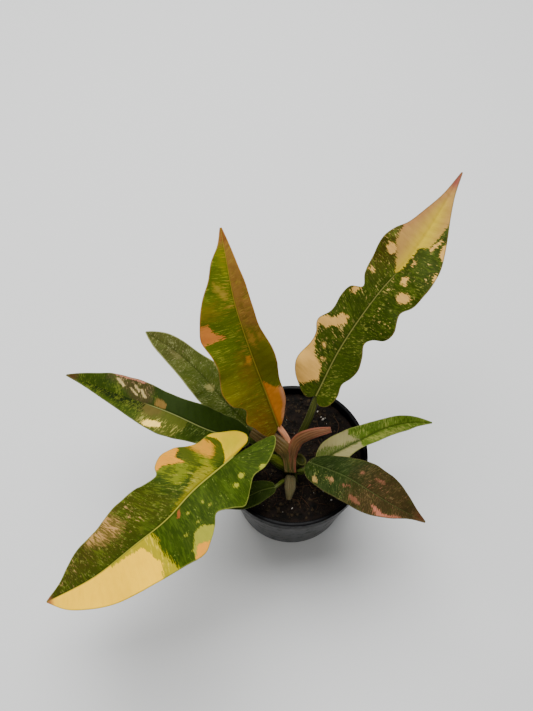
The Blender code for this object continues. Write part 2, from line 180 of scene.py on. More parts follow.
def apply_modifier(obj, kind, **settings):
    """Add one modifier to OBJ and make its result the mesh."""
    activate(obj)
    modifier = obj.modifiers.new(kind.lower(), kind)
    for key, value in settings.items():
        setattr(modifier, key, value)
    bpy.ops.object.modifier_apply(modifier=modifier.name)


def weld_outward(obj):
    """Merge vertices that meet and turn all faces outward."""
    activate(obj)
    bpy.ops.object.mode_set(mode="EDIT")
    bpy.ops.mesh.select_all(action="SELECT")
    bpy.ops.mesh.remove_doubles(threshold=0.005 * MM)
    bpy.ops.mesh.normals_make_consistent(inside=False)
    bpy.ops.object.mode_set(mode="OBJECT")


def join(name, objects):
    """Make one object called NAME of OBJECTS."""
    bpy.ops.object.select_all(action="DESELECT")
    for obj in objects:
        obj.select_set(True)
    bpy.context.view_layer.objects.active = objects[0]
    bpy.ops.object.join()
    objects[0].name = objects[0].data.name = name
    return objects[0]


def smooth(obj, degrees=60):
    """Shade OBJ smooth, but keep edges sharper than DEGREES."""
    activate(obj)
    bpy.ops.object.shade_smooth_by_angle(angle=math.radians(degrees))


print("a straight line of 3 points:", spline([(0, 0), (10, 0)], 3)[0].tolist())

# %% [markdown]
# ## The pot
#
# A 10.8 cm nursery pot is injection-moulded polypropylene, black and a little glossy, with a
# straight band round its lip and a row of holes in its floor. A turned part can be made with
# Spin or Screw. Here a circle is extruded ring by ring, as on a lathe, because every ring then
# has a radius and a height that can be read in the list.


# %% Turned parts
def turned(name, rings, sides, centre=(0, 0)):
    """A solid of revolution from (radius, height) RINGS in mm, filled at both ends."""
    bpy.ops.object.select_all(action="DESELECT")
    x, y = centre[0] * MM, centre[1] * MM
    radius, height = rings[0]
    bpy.ops.mesh.primitive_circle_add(vertices=sides, radius=radius * MM, fill_type="NGON",
                                      location=(x, y, height * MM))
    obj = bpy.context.object
    obj.name = obj.data.name = name
    bpy.ops.object.transform_apply()
    bpy.ops.object.mode_set(mode="EDIT")
    bpy.ops.mesh.select_all(action="SELECT")
    for before, (radius, height) in zip(rings, rings[1:]):
        bpy.ops.mesh.extrude_region_move(
            TRANSFORM_OT_translate={"value": (0, 0, (height - before[1]) * MM)})
        scale = radius / before[0]
        bpy.ops.transform.resize(value=(scale, scale, 1), center_override=(x, y, height * MM))
    bpy.ops.mesh.select_all(action="SELECT")
    bpy.ops.mesh.normals_make_consistent(inside=False)
    bpy.ops.object.mode_set(mode="OBJECT")
    return obj


print("MM, one millimetre in Blender's metres:", MM)

# %% Pot
RIM_RADIUS, RIM_HEIGHT = 54.0, 86.0
BASE_RADIUS, LIP_FOOT, WALL = 42.4, 74.5, 1.6
WALL_TOP = RIM_RADIUS - 2.5            # outer radius just under the lip
INNER_TOP = RIM_RADIUS - 2 * WALL      # inner radius at the rim
FLOOR = 2.0                            # thickness of the floor
POT_SIDES = 128


def wall_inside(z):
    """Radius of the pot's inner wall at height Z."""
    return float(np.interp(z, (0, LIP_FOOT, RIM_HEIGHT - 1),
                           (BASE_RADIUS - WALL, WALL_TOP - WALL, INNER_TOP)))


# Each ring is (radius, height). The rings climb the outside from the foot and go down inside.
foot = [(BASE_RADIUS + out, z) for out, z in (
    (-3.0, 0.9), (-2.2, 0.0), (-0.9, 0.0), (-0.1, 0.5), (0.3, 1.6), (0.5, 3.0), (4.8, 36.0))]
step = [(WALL_TOP + out, LIP_FOOT + z) for out, z in ((-0.15, -1.6), (0, -0.5), (0.3, -0.1))]
lip = [(RIM_RADIUS + out, LIP_FOOT + z) for out, z in ((-1.2, 0), (-0.75, 0.25), (-0.6, 0.9))]
rim = [(RIM_RADIUS + out, RIM_HEIGHT + z) for out, z in (
    (-0.1, -1.5), (0, -0.8), (-0.2, -0.25), (-0.7, 0))]
inner_rim = [(INNER_TOP + out, RIM_HEIGHT + z) for out, z in ((0.9, 0), (0.35, -0.25), (0, -1.0))]
inside_wall = [(wall_inside(LIP_FOOT), LIP_FOOT), (wall_inside(30), 30),
               (wall_inside(FLOOR) + 0.1, FLOOR + 1.2), (wall_inside(FLOOR) - 1, FLOOR),
               (BASE_RADIUS - 7.4, FLOOR)]
pot = turned("nursery_pot", foot + step + lip + rim + inner_rim + inside_wall, POT_SIDES)
print("a turned pot of", len(pot.data.polygons), "faces")

# %% Drain holes
DRAIN_HOLES, DRAIN_RADIUS, DRAIN_CIRCLE, DRAIN_SIDES = 6, 4.5, 30.0, 32
for k in range(DRAIN_HOLES):
    turn = 2 * math.pi * (k + 0.5) / DRAIN_HOLES
    drill = turned("drill", [(DRAIN_RADIUS, -5), (DRAIN_RADIUS, FLOOR + 5)], DRAIN_SIDES,
                   (DRAIN_CIRCLE * math.cos(turn), DRAIN_CIRCLE * math.sin(turn)))
    apply_modifier(pot, "BOOLEAN", object=drill, operation="DIFFERENCE", solver="EXACT")
    bpy.data.objects.remove(drill, do_unlink=True)
smooth(pot, 35)
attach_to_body(pot, "root")
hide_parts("pot")
print("pot faces with its drain holes:", len(pot.data.polygons))

# %% [markdown]
# ### Black polypropylene
#
# Moulded polypropylene has an even, waxy gloss, roughness near 0.4 and an IOR of 1.49. What the
# eye reads as real is the faint orange-peel skin from the mould, and what use adds: fine dust on
# the wall and thin upright scuffs from stacking. The lip is darkened by painted shade.

# %% Pot plastic
plastic, tree, shader = start_material("moulded black polypropylene", IOR=1.49,
                                       Specular_IOR_Level=0.3)
place = node(tree, "TexCoord", out="Object")
# Dust lies in clouds about 6 mm wide.
dust = node(tree, "TexNoise", {"Vector": place, "Scale": 1 / (6.25 * MM), "Detail": 6.0,
                               "Roughness": 0.7}, "Fac")
dust = node(tree, "MapRange", {0: dust, 1: 0.50, 2: 0.72, 3: 0.0, 4: 0.35})
tint = node(tree, "Mix", {0: dust, 6: rgb("#0b0c0d"), 7: rgb("#262625")}, 2, data_type="RGBA")
# Scuffs are about 1 mm wide and 45 mm tall.
upright = node(tree, "Mapping", {"Vector": place, "Scale": (900.0, 900.0, 22.0)})
scuffs = node(tree, "TexNoise", {"Vector": upright, "Scale": 1.0, "Detail": 2.0}, "Fac")
scuffs = node(tree, "MapRange", {0: scuffs, 1: 0.60, 2: 0.74, 3: 0.0, 4: 0.12})
tint = node(tree, "Mix", {0: scuffs, 6: tint, 7: rgb("#3a3a39")}, 2, data_type="RGBA")
gloss = node(tree, "MapRange", {0: dust, 1: 0.0, 2: 0.35, 3: 0.36, 4: 0.6})
tree.links.new(gloss, shader.inputs["Roughness"])
# Painted shade: the lip is painted near black, without the pale dust, and shines less, so it is darker
# than the wall below it.
height = node(tree, "SeparateXYZ", {"Vector": place}, "Z")
lip = node(tree, "MapRange", {0: height, 1: LIP_FOOT * MM, 2: (LIP_FOOT + 3) * MM})
tint = node(tree, "Mix", {0: lip, 6: tint, 7: rgb("#050506")}, 2, data_type="RGBA")
tree.links.new(tint, shader.inputs["Base Color"])
shine = node(tree, "MapRange", {0: lip, 3: 0.3, 4: 0.06})
tree.links.new(shine, shader.inputs["Specular IOR Level"])
# Orange peel of about 0.7 mm: one unit of the texture divided by its scale.
peel = node(tree, "TexNoise", {"Vector": place, "Scale": 1 / (0.7 * MM), "Detail": 2.0}, "Fac")
peel = node(tree, "Bump", {"Height": peel, "Strength": 0.12, "Distance": 0.1 * MM})
tree.links.new(peel, shader.inputs["Normal"])
pot.data.materials.clear()
pot.data.materials.append(plastic)
print("pot finish:", plastic.name)

# %% [markdown]
# ## The soil
#
# Potting soil is peat with bark chips, a few white grains of perlite and thin fibres. The plug
# that fills the pot is turned like the pot. Its top is then pushed up and down by four sizes of
# noise, from clods to grit. Chips, grains and fibres are separate small shapes. Chips and grains
# are each modelled once and copied, because noise alone never gives the sharp edges and gaps of bark.

# %% Soil plug
SOIL_TOP = 79.0
SOIL_SIDES, RING_STEP = 200, 0.85
STEM_X, STEM_Y = -2.0, -13.0
# Size, height and a seed for each noise: clods, crumbs, coarse grit and fine grit, in mm.
CRUMBS = ((7.0, 1.3, 3.1), (3.0, 0.65, 8.4), (1.4, 0.5, 1.7), (0.7, 0.3, 5.2))


def crumbs(x, y):
    """Height of the soil over its plain level at (X, Y), in mm."""
    return sum(tall * noise.noise((x / wide, y / wide, seed)) for wide, tall, seed in CRUMBS)


side_rings = [(wall_inside(z) - 0.3, z) for z in (FLOOR + 0.3, 30, 60, LIP_FOOT, SOIL_TOP - 1.5)]
top_rings = [(r, SOIL_TOP) for r in np.arange(wall_inside(SOIL_TOP) - 0.5, 0.6, -RING_STEP)]
soil = turned("soil_plug", side_rings + top_rings, SOIL_SIDES)
loose = points_of(soil)
on_top = loose[:, 2] > SOIL_TOP - 0.5
loose[on_top, 2] += [crumbs(x, y) for x, y in loose[on_top, :2]]
move_points(soil, loose)
smooth(soil, 70)
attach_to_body(soil, "root")
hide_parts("soil")
print("soil faces:", len(soil.data.polygons))

# %% Scatter helper
draw = random.Random(11)
noise.seed_set(14)     # vector noise would start from the clock otherwise
CLEAR = 8.0            # nothing is scattered nearer to the stem, mm
PLACED_SHADE = 0.7     # tone of the grains that are placed one by one


def ground(x, y):
    """The point of the soil's surface at (X, Y), in mm."""
    return np.array([x, y, SOIL_TOP + crumbs(x, y)])


def spot(reach, clear):
    """A random place on the soil within REACH of the axis and CLEAR of the stem, in mm."""
    while True:
        x, y = draw.uniform(-reach, reach), draw.uniform(-reach, reach)
        if math.hypot(x, y) < reach and math.hypot(x - STEM_X, y - STEM_Y) > clear:
            return ground(x, y)


def scatter(name, model, count, sizes, raised, flatness=1.0, reach=47.0, lean=0.6, placed=()):
    """Join copies of MODEL, each turned and scaled at random, into one piece.

    COUNT of them lie at random. PLACED adds more, each as (x, y, size) in mm. RAISED is how far
    each one's middle lies over the soil, as a share of its height.
    """
    shape = points_of(model)
    copies = []
    for k in range(count + len(placed)):
        copy = bpy.data.objects.new(name, model.data.copy())
        bpy.context.scene.collection.objects.link(copy)
        size = draw.uniform(*sizes) * draw.uniform(0.7, 1.0)
        a, tilt = draw.uniform(0, 2 * math.pi), draw.uniform(-lean, lean)
        slim = draw.uniform(0.45, 1.0)
        centre = spot(reach, CLEAR)
        shade = draw.random()
        if k >= count:
            x, y, size = placed[k - count]
            centre, shade = ground(x, y), PLACED_SHADE
        centre = centre + (0, 0, size * flatness * raised)
        stretched = shape * (size, size * slim, size * flatness)
        lean_y = stretched[:, 1] * math.cos(tilt) - stretched[:, 2] * math.sin(tilt)
        lean_z = stretched[:, 1] * math.sin(tilt) + stretched[:, 2] * math.cos(tilt)
        x = stretched[:, 0] * math.cos(a) - lean_y * math.sin(a)
        y = stretched[:, 0] * math.sin(a) + lean_y * math.cos(a)
        move_points(copy, np.stack([x, y, lean_z], 1) + centre)
        attach(copy, "shade", np.full(len(shape), shade))
        copies.append(copy)
    bpy.data.objects.remove(model, do_unlink=True)
    piece = join(name, copies)
    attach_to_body(piece, "root")
    return piece


def roughen(obj, pitch, depth):
    """Push each vertex of OBJ about, by noise that changes over 1 / PITCH mm."""
    shape = points_of(obj)
    shape += [np.array(noise.noise_vector(Vector(p) * pitch)) * depth for p in shape]
    move_points(obj, shape)


print("the soil at the pot's axis is", round(crumbs(0, 0), 2), "mm over its plain level")

# %% Bark chips and perlite
CHIPS, GRAINS = 1300, 26
bpy.ops.object.select_all(action="DESELECT")
bpy.ops.mesh.primitive_cube_add(size=1 * MM)
chip = bpy.context.object
apply_modifier(chip, "BEVEL", width=0.12 * MM, segments=1)
roughen(chip, 1.7, 0.42)
bark = scatter("soil_bark", chip, CHIPS, (0.6, 2.7), 0.08, flatness=0.45)
bpy.ops.object.select_all(action="DESELECT")
bpy.ops.mesh.primitive_ico_sphere_add(subdivisions=2, radius=0.5 * MM)
grain = bpy.context.object
roughen(grain, 3.3, 0.16)
large_grains = [(22.8, 29.2, 2.4), (24.5, 30.4, 1.7), (21.4, 31, 1.5), (19.2, 35.6, 1.8),
                (-1.0, -39, 1.7), (-5.0, -49.8, 1.9), (22.5, -45, 1.5), (-4.0, -32, 1.8),
                (27, -33, 1.6)]
perlite = scatter("soil_perlite", grain, GRAINS, (0.5, 1.4), -0.05, flatness=0.8, placed=large_grains)
print("bark faces:", len(bark.data.polygons), "perlite faces:", len(perlite.data.polygons))


# %% Root fibres
def strand(name, path, radii, sides, rings):
    """A round stalk along PATH: a grid rolled up, with both ends drawn to a point."""
    centre, length = spline(path, rings)
    at = np.linspace(0, 1, rings)
    radius = np.interp(at, np.linspace(0, 1, len(radii)), radii)
    ahead = unit(np.gradient(centre, axis=0))
    side = unit(np.cross(ahead, (0.12, -0.99, 0.05)))
    over = np.cross(side, ahead)
    # One more ring at each end has no radius, so welding closes the tube there.
    ends = [0] + list(range(rings)) + [rings - 1]
    radius = np.concatenate([[0], radius, [0]])
    obj, row, column = grid(name, rings + 2, sides + 1)
    turn = 2 * math.pi * column / sides
    way = side[ends][row] * np.cos(turn)[:, None] + over[ends][row] * np.sin(turn)[:, None]
    move_points(obj, centre[ends][row] + way * radius[row, None])
    attach(obj, "vein", np.stack([np.cos(turn), np.sin(turn), length * at[ends][row]], 1))
    weld_outward(obj)
    return obj


# Each fibre is a bow that spans 6 to 18 mm. One that would reach the pot's wall is left out.
FIBRES, SOIL_REACH = 90, 50
fibres = []
for _ in range(FIBRES):
    x, y, _ = spot(44, 9)
    a, reach = draw.uniform(0, 2 * math.pi), draw.uniform(3, 9)
    bend = draw.uniform(-0.6, 0.6)
    route = []
    for s in (-1, -0.4, 0.3, 1):
        px = x + reach * s * math.cos(a) - bend * reach * s * s * math.sin(a)
        py = y + reach * s * math.sin(a) + bend * reach * s * s * math.cos(a)
        # The ends lie in the soil and the middle arches over it.
        route.append(ground(px, py) + (0, 0, 0.9 if abs(s) < 0.5 else 0.1))
    if max(math.hypot(px, py) for px, py, _ in route) < SOIL_REACH:
        fibre = strand("fibre", route, (0.1, 0.22, 0.2, 0.08), 5, 9)
        attach(fibre, "shade", np.full(len(fibre.data.vertices), draw.random()))
        fibres.append(fibre)
fibres = join("soil_fibres", fibres)
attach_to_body(fibres, "root")
print("fibre faces:", len(fibres.data.polygons))

# %% [markdown]
# ### Peat, bark and perlite
#
# Damp peat is almost black and quite rough, with a weak sheen on wet grains. Bark is a shade
# warmer, each chip with its own tone. Perlite is expanded volcanic glass: chalky, off-white and
# often smeared brown by the peat, so only some grains are bright.

# %% Soil finishes
peat, tree, shader = start_material("damp peat", Roughness=0.85, Specular_IOR_Level=0.15)
place = node(tree, "TexCoord", out="Object")
# Tone changes over 6 mm, and the grains in the relief are about 1.2 mm wide.
clods = node(tree, "TexNoise", {"Vector": place, "Scale": 1 / (6 * MM), "Detail": 6.0}, "Fac")
clods = node(tree, "MapRange", {0: clods, 1: 0.35, 2: 0.68})
tint = node(tree, "Mix", {0: clods, 6: rgb("#070503"), 7: rgb("#1d130c")}, 2, data_type="RGBA")
tree.links.new(tint, shader.inputs["Base Color"])
grit = node(tree, "TexNoise", {"Vector": place, "Scale": 1 / (1.2 * MM), "Detail": 5.0}, "Fac")
grit = node(tree, "Bump", {"Height": grit, "Strength": 0.9, "Distance": 0.8 * MM})
tree.links.new(grit, shader.inputs["Normal"])


def grained(name, dark, pale, roughness, stretch, fibre_mm):
    """A finish whose tone changes from copy to copy, with grain FIBRE_MM wide."""
    made, tree, shader = start_material(name, Roughness=roughness, Specular_IOR_Level=0.15)
    shade = node(tree, "Attribute", out="Fac", attribute_name="shade")
    place = node(tree, "TexCoord", out="Object")
    place = node(tree, "Mapping", {"Vector": place, "Scale": stretch})
    grain = node(tree, "TexNoise", {"Vector": place, "Scale": 1 / (fibre_mm * MM), "Detail": 4.0}, "Fac")
    shade = node(tree, "Math", {0: shade, 1: 0.6, 2: -0.3}, operation="MULTIPLY_ADD")
    shade = node(tree, "Math", {0: shade, 1: grain}, operation="ADD")
    tint = node(tree, "MapRange", {0: shade, 1: 0.25, 2: 0.8})
    tint = node(tree, "Mix", {0: tint, 6: rgb(dark), 7: rgb(pale)}, 2, data_type="RGBA")
    tree.links.new(tint, shader.inputs["Base Color"])
    bump = node(tree, "Bump", {"Height": grain, "Strength": 0.5, "Distance": 0.3 * MM})
    tree.links.new(bump, shader.inputs["Normal"])
    return made


for piece, finish in (
        (soil, peat),
        (bark, grained("composted bark", "#040302", "#322717", 0.8, (1, 0.3, 1), 1.5)),
        (perlite, grained("expanded perlite", "#4a4038", "#c2bcb0", 0.9, (1, 1, 1), 0.6)),
        (fibres, grained("dry root fibre", "#140c07", "#4a3220", 0.8, (1, 1, 1), 2.0))):
    piece.data.materials.clear()
    piece.data.materials.append(finish)
print("soil finishes:", [p.active_material.name for p in (soil, bark, perlite, fibres)])

# %% [markdown]
# ## The stem
#
# The stem of a young plant is a stubby green column ringed with the scars of old leaves. A stump
# and a dry root tip stand on it. Three stalks overlap, and the Remesh modifier melts them into
# one skin with soft joints, as growing tissue has.

# %% Stem
STEM_TOP, STEM_FOOT = 102.0, 50.0
LEAF_SCARS = ((84.0, 0.28, 0.7), (91.0, 0.3, 0.8))      # height, depth and width of each ring, mm
heights = np.linspace(STEM_FOOT, STEM_TOP, 40)
scars = sum(deep * np.exp(-((heights - z) / wide) ** 2) for z, deep, wide in LEAF_SCARS)
body_radii = np.interp(heights, (STEM_FOOT, STEM_FOOT + 3, SOIL_TOP, STEM_TOP - 1, STEM_TOP),
                       (4.1, 5.6, 5.6, 4.6, 3.6)) + scars
STUMP_END = (5, -9.8, 100)
stalks = [strand("body", [(STEM_X, STEM_Y, STEM_FOOT), (STEM_X, STEM_Y, STEM_TOP)], body_radii,
                 48, 60),
          strand("stump", [(-1, -12.5, 90), (2, -11, 95), STUMP_END], (3.0, 4.2, 4.8), 40, 14),
          strand("root", [(-0.8, -15.5, 95), (0.8, -18.5, 96), (2, -21.5, 93.5), (3.4, -24, 89)],
                 (1.0, 0.8, 0.6, 0.4), 14, 20)]
stem = join("stem_column", stalks)
apply_modifier(stem, "REMESH", mode="VOXEL", voxel_size=0.35 * MM)
apply_modifier(stem, "SMOOTH", factor=0.5, iterations=3)
print("one skin of", len(stem.data.polygons), "faces")

# %% Hollow stump
# The stump is what is left of a sheath, so its end is hollowed and keeps a thin rim.
HOLLOW_RADIUS, HOLLOW_DEPTH = 4.1, 2.2
shape = points_of(stem)
axis = unit(np.array([3.0, 1.5, 5.0]))
from_end = shape - STUMP_END
depth = from_end @ axis
off = np.linalg.norm(from_end - depth[:, None] * axis, axis=1)
hollow = np.clip(1 - (off / HOLLOW_RADIUS) ** 6, 0, 1) * (depth > -0.8) * (depth < 1.0)
shape -= (hollow * HOLLOW_DEPTH)[:, None] * axis
move_points(stem, shape)
attach(stem, "rim", np.where((depth > -0.5) & (off > 3.7) & (off < 5.4), 1.0, 0.0))
attach(stem, "height", shape[:, 2])
smooth(stem, 80)
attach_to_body(stem, "root")
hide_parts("stem")
print("vertices moved to hollow the stump:", int((hollow > 0).sum()))

# %% Stem skin
bark_green, tree, shader = start_material("green stem skin", Roughness=0.5, Specular_IOR_Level=0.06)
place = node(tree, "TexCoord", out="Object")
along = node(tree, "Mapping", {"Vector": place, "Scale": (1.0, 1.0, 0.25)})
streak = node(tree, "TexNoise", {"Vector": along, "Scale": 1 / (0.9 * MM), "Detail": 4.0}, "Fac")
tint = node(tree, "MapRange", {0: streak, 1: 0.35, 2: 0.7})
tint = node(tree, "Mix", {0: tint, 6: rgb("#171b05"), 7: rgb("#2b2f0b")}, 2, data_type="RGBA")
# Wet soil stains the foot of the stem brown, and the stump's rim has dried pale.
height = node(tree, "Attribute", out="Fac", attribute_name="height")
low = node(tree, "MapRange", {0: height, 1: SOIL_TOP + 13, 2: SOIL_TOP + 1})
rim = node(tree, "Attribute", out="Fac", attribute_name="rim")
for share, colour in ((low, "#1c130a"), (rim, "#3c3c18")):
    tint = node(tree, "Mix", {0: share, 6: tint, 7: rgb(colour)}, 2, data_type="RGBA")
tree.links.new(tint, shader.inputs["Base Color"])
bump = node(tree, "Bump", {"Height": streak, "Strength": 0.4, "Distance": 0.2 * MM})
tree.links.new(bump, shader.inputs["Normal"])
stem.data.materials.clear()
stem.data.materials.append(bark_green)
print("stem faces:", len(stem.data.polygons))

# %% [markdown]
# ## The leaves
#
# Every leaf is hung on its midrib, a curve in space. Rows of vertices leave it on both sides and
# run out to the margin along the path of the side veins, so a row is a vein. The margins are
# read off a plan of the leaf: distance along the midrib, and distance out from it.
#
# Each blade also keeps its plan coordinates and its distance from the margin on its vertices.
# Its markings are drawn with them.

# %% Midrib
RIB_POINTS = 121


class Midrib:
    """The curve that a blade is hung on, with a frame at each distance from its base."""

    def __init__(self, points, roll):
        self.curve, self.length = spline(points, RIB_POINTS)
        self.at = np.linspace(0, self.length, RIB_POINTS)
        self.ahead = unit(np.gradient(self.curve, axis=0))
        self.roll = roll

    def frame(self, v):
        """Point, side and normal at V mm from the base. A lobe runs back to V below 0."""
        on = np.clip(v, 0, self.length)
        point = np.stack([np.interp(on, self.at, c) for c in self.curve.T], -1)
        ahead = unit(np.stack([np.interp(on, self.at, c) for c in self.ahead.T], -1))
        point = point + ahead * (v - on)[..., None]
        side = unit(np.cross(ahead, (0, 0, 1)))
        normal = np.cross(side, ahead)
        turn = np.radians(np.interp(on / self.length, (0, 1), self.roll))[..., None]
        return (point, side * np.cos(turn) + normal * np.sin(turn),
                normal * np.cos(turn) - side * np.sin(turn))


print("a midrib is", RIB_POINTS, "points along a curve")

# %% Blade
KEEL = 1.5             # mm over which the fold is rounded at the midrib
VEIN_STEP = 6.5        # mm from one side vein to the next
RIPPLE = 12.5          # mm from one small wave of the margin to the next
BLADE = 0.6            # thickness of the blade, mm
RIB_DEPTH = 1.3        # how far the rib stands out underneath, mm
RIB_WIDTHS = (0.6, 0.42, 0.2)      # half width of the pale rib at base, middle and tip, mm


class Blade:
    """The mesh of one leaf with its plan coordinates.

    LEFT and RIGHT are the margins from base to tip. FOLD lifts each half by that many degrees,
    ROLL turns the blade about its midrib, and WAVE, WAVELENGTH and PHASE ruffle its margins.
    SWEEP draws the veins forward. A lobe reaches BACK past the base, raised by LIFT.
    """

    def __init__(self, name, midrib, left, right, rows, half_columns, fold, wave,
                 wavelength=30, phase=0, roll=(0, 0), lift=(0, 0), sweep=8, back=0):
        self.rib = Midrib(midrib, roll)
        self.obj, self.row, column = grid(name, rows, 2 * half_columns + 1)
        row = self.row
        step = np.linspace(0, 1, rows)
        edges = [spline(margin, rows)[0] * (self.rib.length / margin[-1][0], 1)
                 for margin in (left, right)]
        start = np.minimum(edges[0][:, 0], edges[1][:, 0]) - sweep
        start = np.maximum.accumulate(np.clip(start + back, 0, None)) + step
        start = start * (self.rib.length + back) / start[-1] - back
        offset = column - half_columns
        sign = np.where(offset < 0, -1, 1)
        which = (sign > 0).astype(int)
        # The columns stand closer together near the midrib, where the leaf bends most.
        part = (np.abs(offset) / half_columns) ** 1.25
        edge_v, edge_out = np.stack(edges)[which, row].T
        half = np.array([margin[:, 1].max() for margin in edges])[which]
        reach = np.hypot(edge_v - start[row], edge_out)
        v = start[row] + (edge_v - start[row]) * part
        out = edge_out * part
        middle = [np.stack([(e[:, 0] + start) / 2, e[:, 1] / 2], 1) for e in edges]
        spacing = sum(np.linalg.norm(np.diff(m, axis=0), axis=1) for m in middle) / 2
        across_veins = np.concatenate([[0], np.cumsum(spacing)])[row]
        point, side, normal = self.rib.frame(v)
        tilt = np.radians(np.array(fold)[which]) * out / (out + KEEL)
        # Slow waves grow towards the margin. Small ripples show only close to it.
        ruffle = wave * (out / half) ** 2 * np.sin(2 * math.pi * v / wavelength + phase + sign * 0.9)
        ruffle += 0.45 * (out / half) ** 5 * np.sin(2 * math.pi * v / RIPPLE + phase + sign)
        behind = np.array(lift)[which] * (np.clip(-v - back, 0, None) / 30) ** 1.5
        # Between two side veins the blade swells a little. Over the midrib it is channelled.
        swell = 0.14 * np.sin(math.pi * across_veins / VEIN_STEP) ** 2 * np.sin(math.pi * part) ** 0.7
        swell = swell * np.clip(reach / 12, 0, 1) - 0.35 * np.exp(-(out / 1.1) ** 2)
        self.up = normal * np.cos(tilt)[:, None] - side * (sign * np.sin(tilt))[:, None]
        move_points(self.obj, point + side * (sign * out * np.cos(tilt))[:, None]
                    + normal * (out * np.sin(tilt) + ruffle + behind)[:, None]
                    + self.up * swell[:, None])
        self.plan = np.stack([v, sign * out], 1)
        attach(self.obj, "vein", np.stack([across_veins, sign * reach * part, v * 0], 1))
        attach(self.obj, "plan", np.stack([v, sign * out, v * 0], 1))
        attach(self.obj, "edge", (1 - part) * reach)
        # Width of the pale rib on the upper side, narrowing to the tip.
        width = np.interp(v / self.rib.length, (0, 0.5, 1), RIB_WIDTHS)
        attach(self.obj, "rib", np.abs(out) / width)

    def thicken(self):
        """Give the blade two faces and a rounded rib underneath."""
        thin = np.interp(self.row / self.row.max(), (0, 1), (1, 0.12))
        apply_modifier(self.obj, "SOLIDIFY", thickness=BLADE * MM, offset=0.0, use_rim=True,
                       material_offset=1, material_offset_rim=0)
        shape = points_of(self.obj)
        count = len(self.plan)
        first, second = shape[:count], shape[count:2 * count]
        lower = second if ((first - second) * self.up).sum() > 0 else first
        ridge = RIB_DEPTH * thin * np.exp(-(np.abs(self.plan[:, 1]) / (1.3 * thin + 0.2)) ** 2)
        lower -= self.up * ridge[:, None]
        move_points(self.obj, shape)


print("a blade is", BLADE, "mm thick and has a side vein every", VEIN_STEP, "mm")

# %% [markdown]
# ### Drawing the markings
#
# The pale parts of a variegated leaf are sectors of cells that make no chlorophyll. They are
# outlined here in plan coordinates, a handful of points for each patch. A vertex stores how far
# inside the outline it lies, and the shader cuts that distance with noise stretched along the
# side veins. The border comes out crisp and ragged, whatever the mesh is. A painted picture
# would do it too, but it would tie the leaf to one resolution.


# %% Outlines
def box(v0, v1, out0, out1):
    """The outline of an oblong from V0 to V1 along the midrib and OUT0 to OUT1 across it."""
    return [(v0, out0), (v1, out0), (v1, out1), (v0, out1)]


def dot(v, out, radius):
    """The outline of a small spot."""
    return [(v + radius * 1.3 * math.cos(a), out + radius * math.sin(a))
            for a in (0, 1.1, 2.0, 3.2, 4.3, 5.3)]


def inside(plan, outline):
    """How far inside OUTLINE each PLAN point lies, in mm, negative outside it."""
    corners = np.asarray(outline, float)
    nearest = np.full(len(plan), 1e9)
    within = np.zeros(len(plan), bool)
    for a, b in zip(corners, np.roll(corners, -1, axis=0)):
        along = np.clip(((plan - a) @ (b - a)) / max((b - a) @ (b - a), 1e-9), 0, 1)
        nearest = np.minimum(nearest, np.linalg.norm(plan - a - along[:, None] * (b - a), axis=1))
        if a[1] != b[1]:
            crosses = (a[1] > plan[:, 1]) != (b[1] > plan[:, 1])
            at = a[0] + (plan[:, 1] - a[1]) / (b[1] - a[1]) * (b[0] - a[0])
            within ^= crosses & (plan[:, 0] < at)
    return np.where(within, nearest, -nearest)


def deepest(plan, outlines):
    """How far inside the nearest of OUTLINES each point lies."""
    return np.max([inside(plan, outline) for outline in outlines], axis=0)


print("the middle of a 4 mm square lies", inside(np.array([(2, 2)]), box(0, 4, 0, 4))[0], "mm inside")


# %% Two kinds of marking
def patch(colour, outlines, ragged, soft, side=0, strength=1.0, tones=()):
    """A marking. RAGGED is how far its border wanders and SOFT how wide it fades, in mm.

    With SIDE -1 or 1 it stays on the left or the right half and ends crisply at the midrib.
    TONES are (colour, outlines, soft) shades that blend into it and end where it ends.
    """
    return dict(colour=colour, outlines=outlines, ragged=ragged, soft=soft, side=side,
                strength=strength, tones=tones)


def flecks(colour, amount, size, length, outlines=None, soft=3.0, strength=1.0, side=0):
    """Streaks SIZE by LENGTH mm along the veins. AMOUNT is the share that they cover."""
    return dict(patch(colour, outlines, 2.0, soft, side, strength), amount=amount, size=size,
                length=length)


print("a fleck mark holds", ", ".join(flecks("#808080", 0.1, 1, 4)))

# %% [markdown]
# ### The skin of a leaf
#
# A leaf is a waxy skin over wet tissue: a soft gloss, a little light that scatters inside, and
# colour that follows the veins. The shader is built in layers, from the green up: tissue first,
# then the markings in the order of the list, then rim, veins and midrib, then a broad mottle.

# %% Green tissue
# What a leaf's paint says unless it says otherwise: how strong each layer is, the width of the
# pale rib as a share of the usual, and where along the midrib it fades out.
PLAIN = dict(streaks=0.35, lines=0.08, crease_shade=0.4, mottle=0.2, rib_strength=0.85, rib_width=1.0,
             rib_end=500)


def green_tissue(tree, vein, paint):
    """Clouds 14 mm wide, and streaks 1 mm wide that run with the side veins."""
    clouds = node(tree, "TexNoise", {"Vector": vein, "Scale": 1 / 14, "Detail": 3.0}, "Fac")
    clouds = node(tree, "MapRange", {0: clouds, 1: 0.35, 2: 0.65})
    tint = node(tree, "Mix", {0: clouds, 6: rgb(paint["ground"]), 7: rgb(paint["shade"])}, 2,
                data_type="RGBA")
    fine = node(tree, "Mapping", {"Vector": vein, "Scale": (1.0, 0.16, 1.0)})
    streak = node(tree, "TexNoise", {"Vector": fine, "Scale": 1.0, "Detail": 4.0,
                                     "Roughness": 0.65}, "Fac")
    light = node(tree, "MapRange", {0: streak, 1: 0.50, 2: 0.72, 3: 0.0, 4: paint["streaks"]})
    tint = node(tree, "Mix", {0: light, 6: tint, 7: rgb(paint["streak"])}, 2, data_type="RGBA")
    return tint, clouds, streak


print("a leaf's usual layers:", PLAIN)

# %% Markings
CLUMPING = 0.45        # how strongly flecks gather in clumps
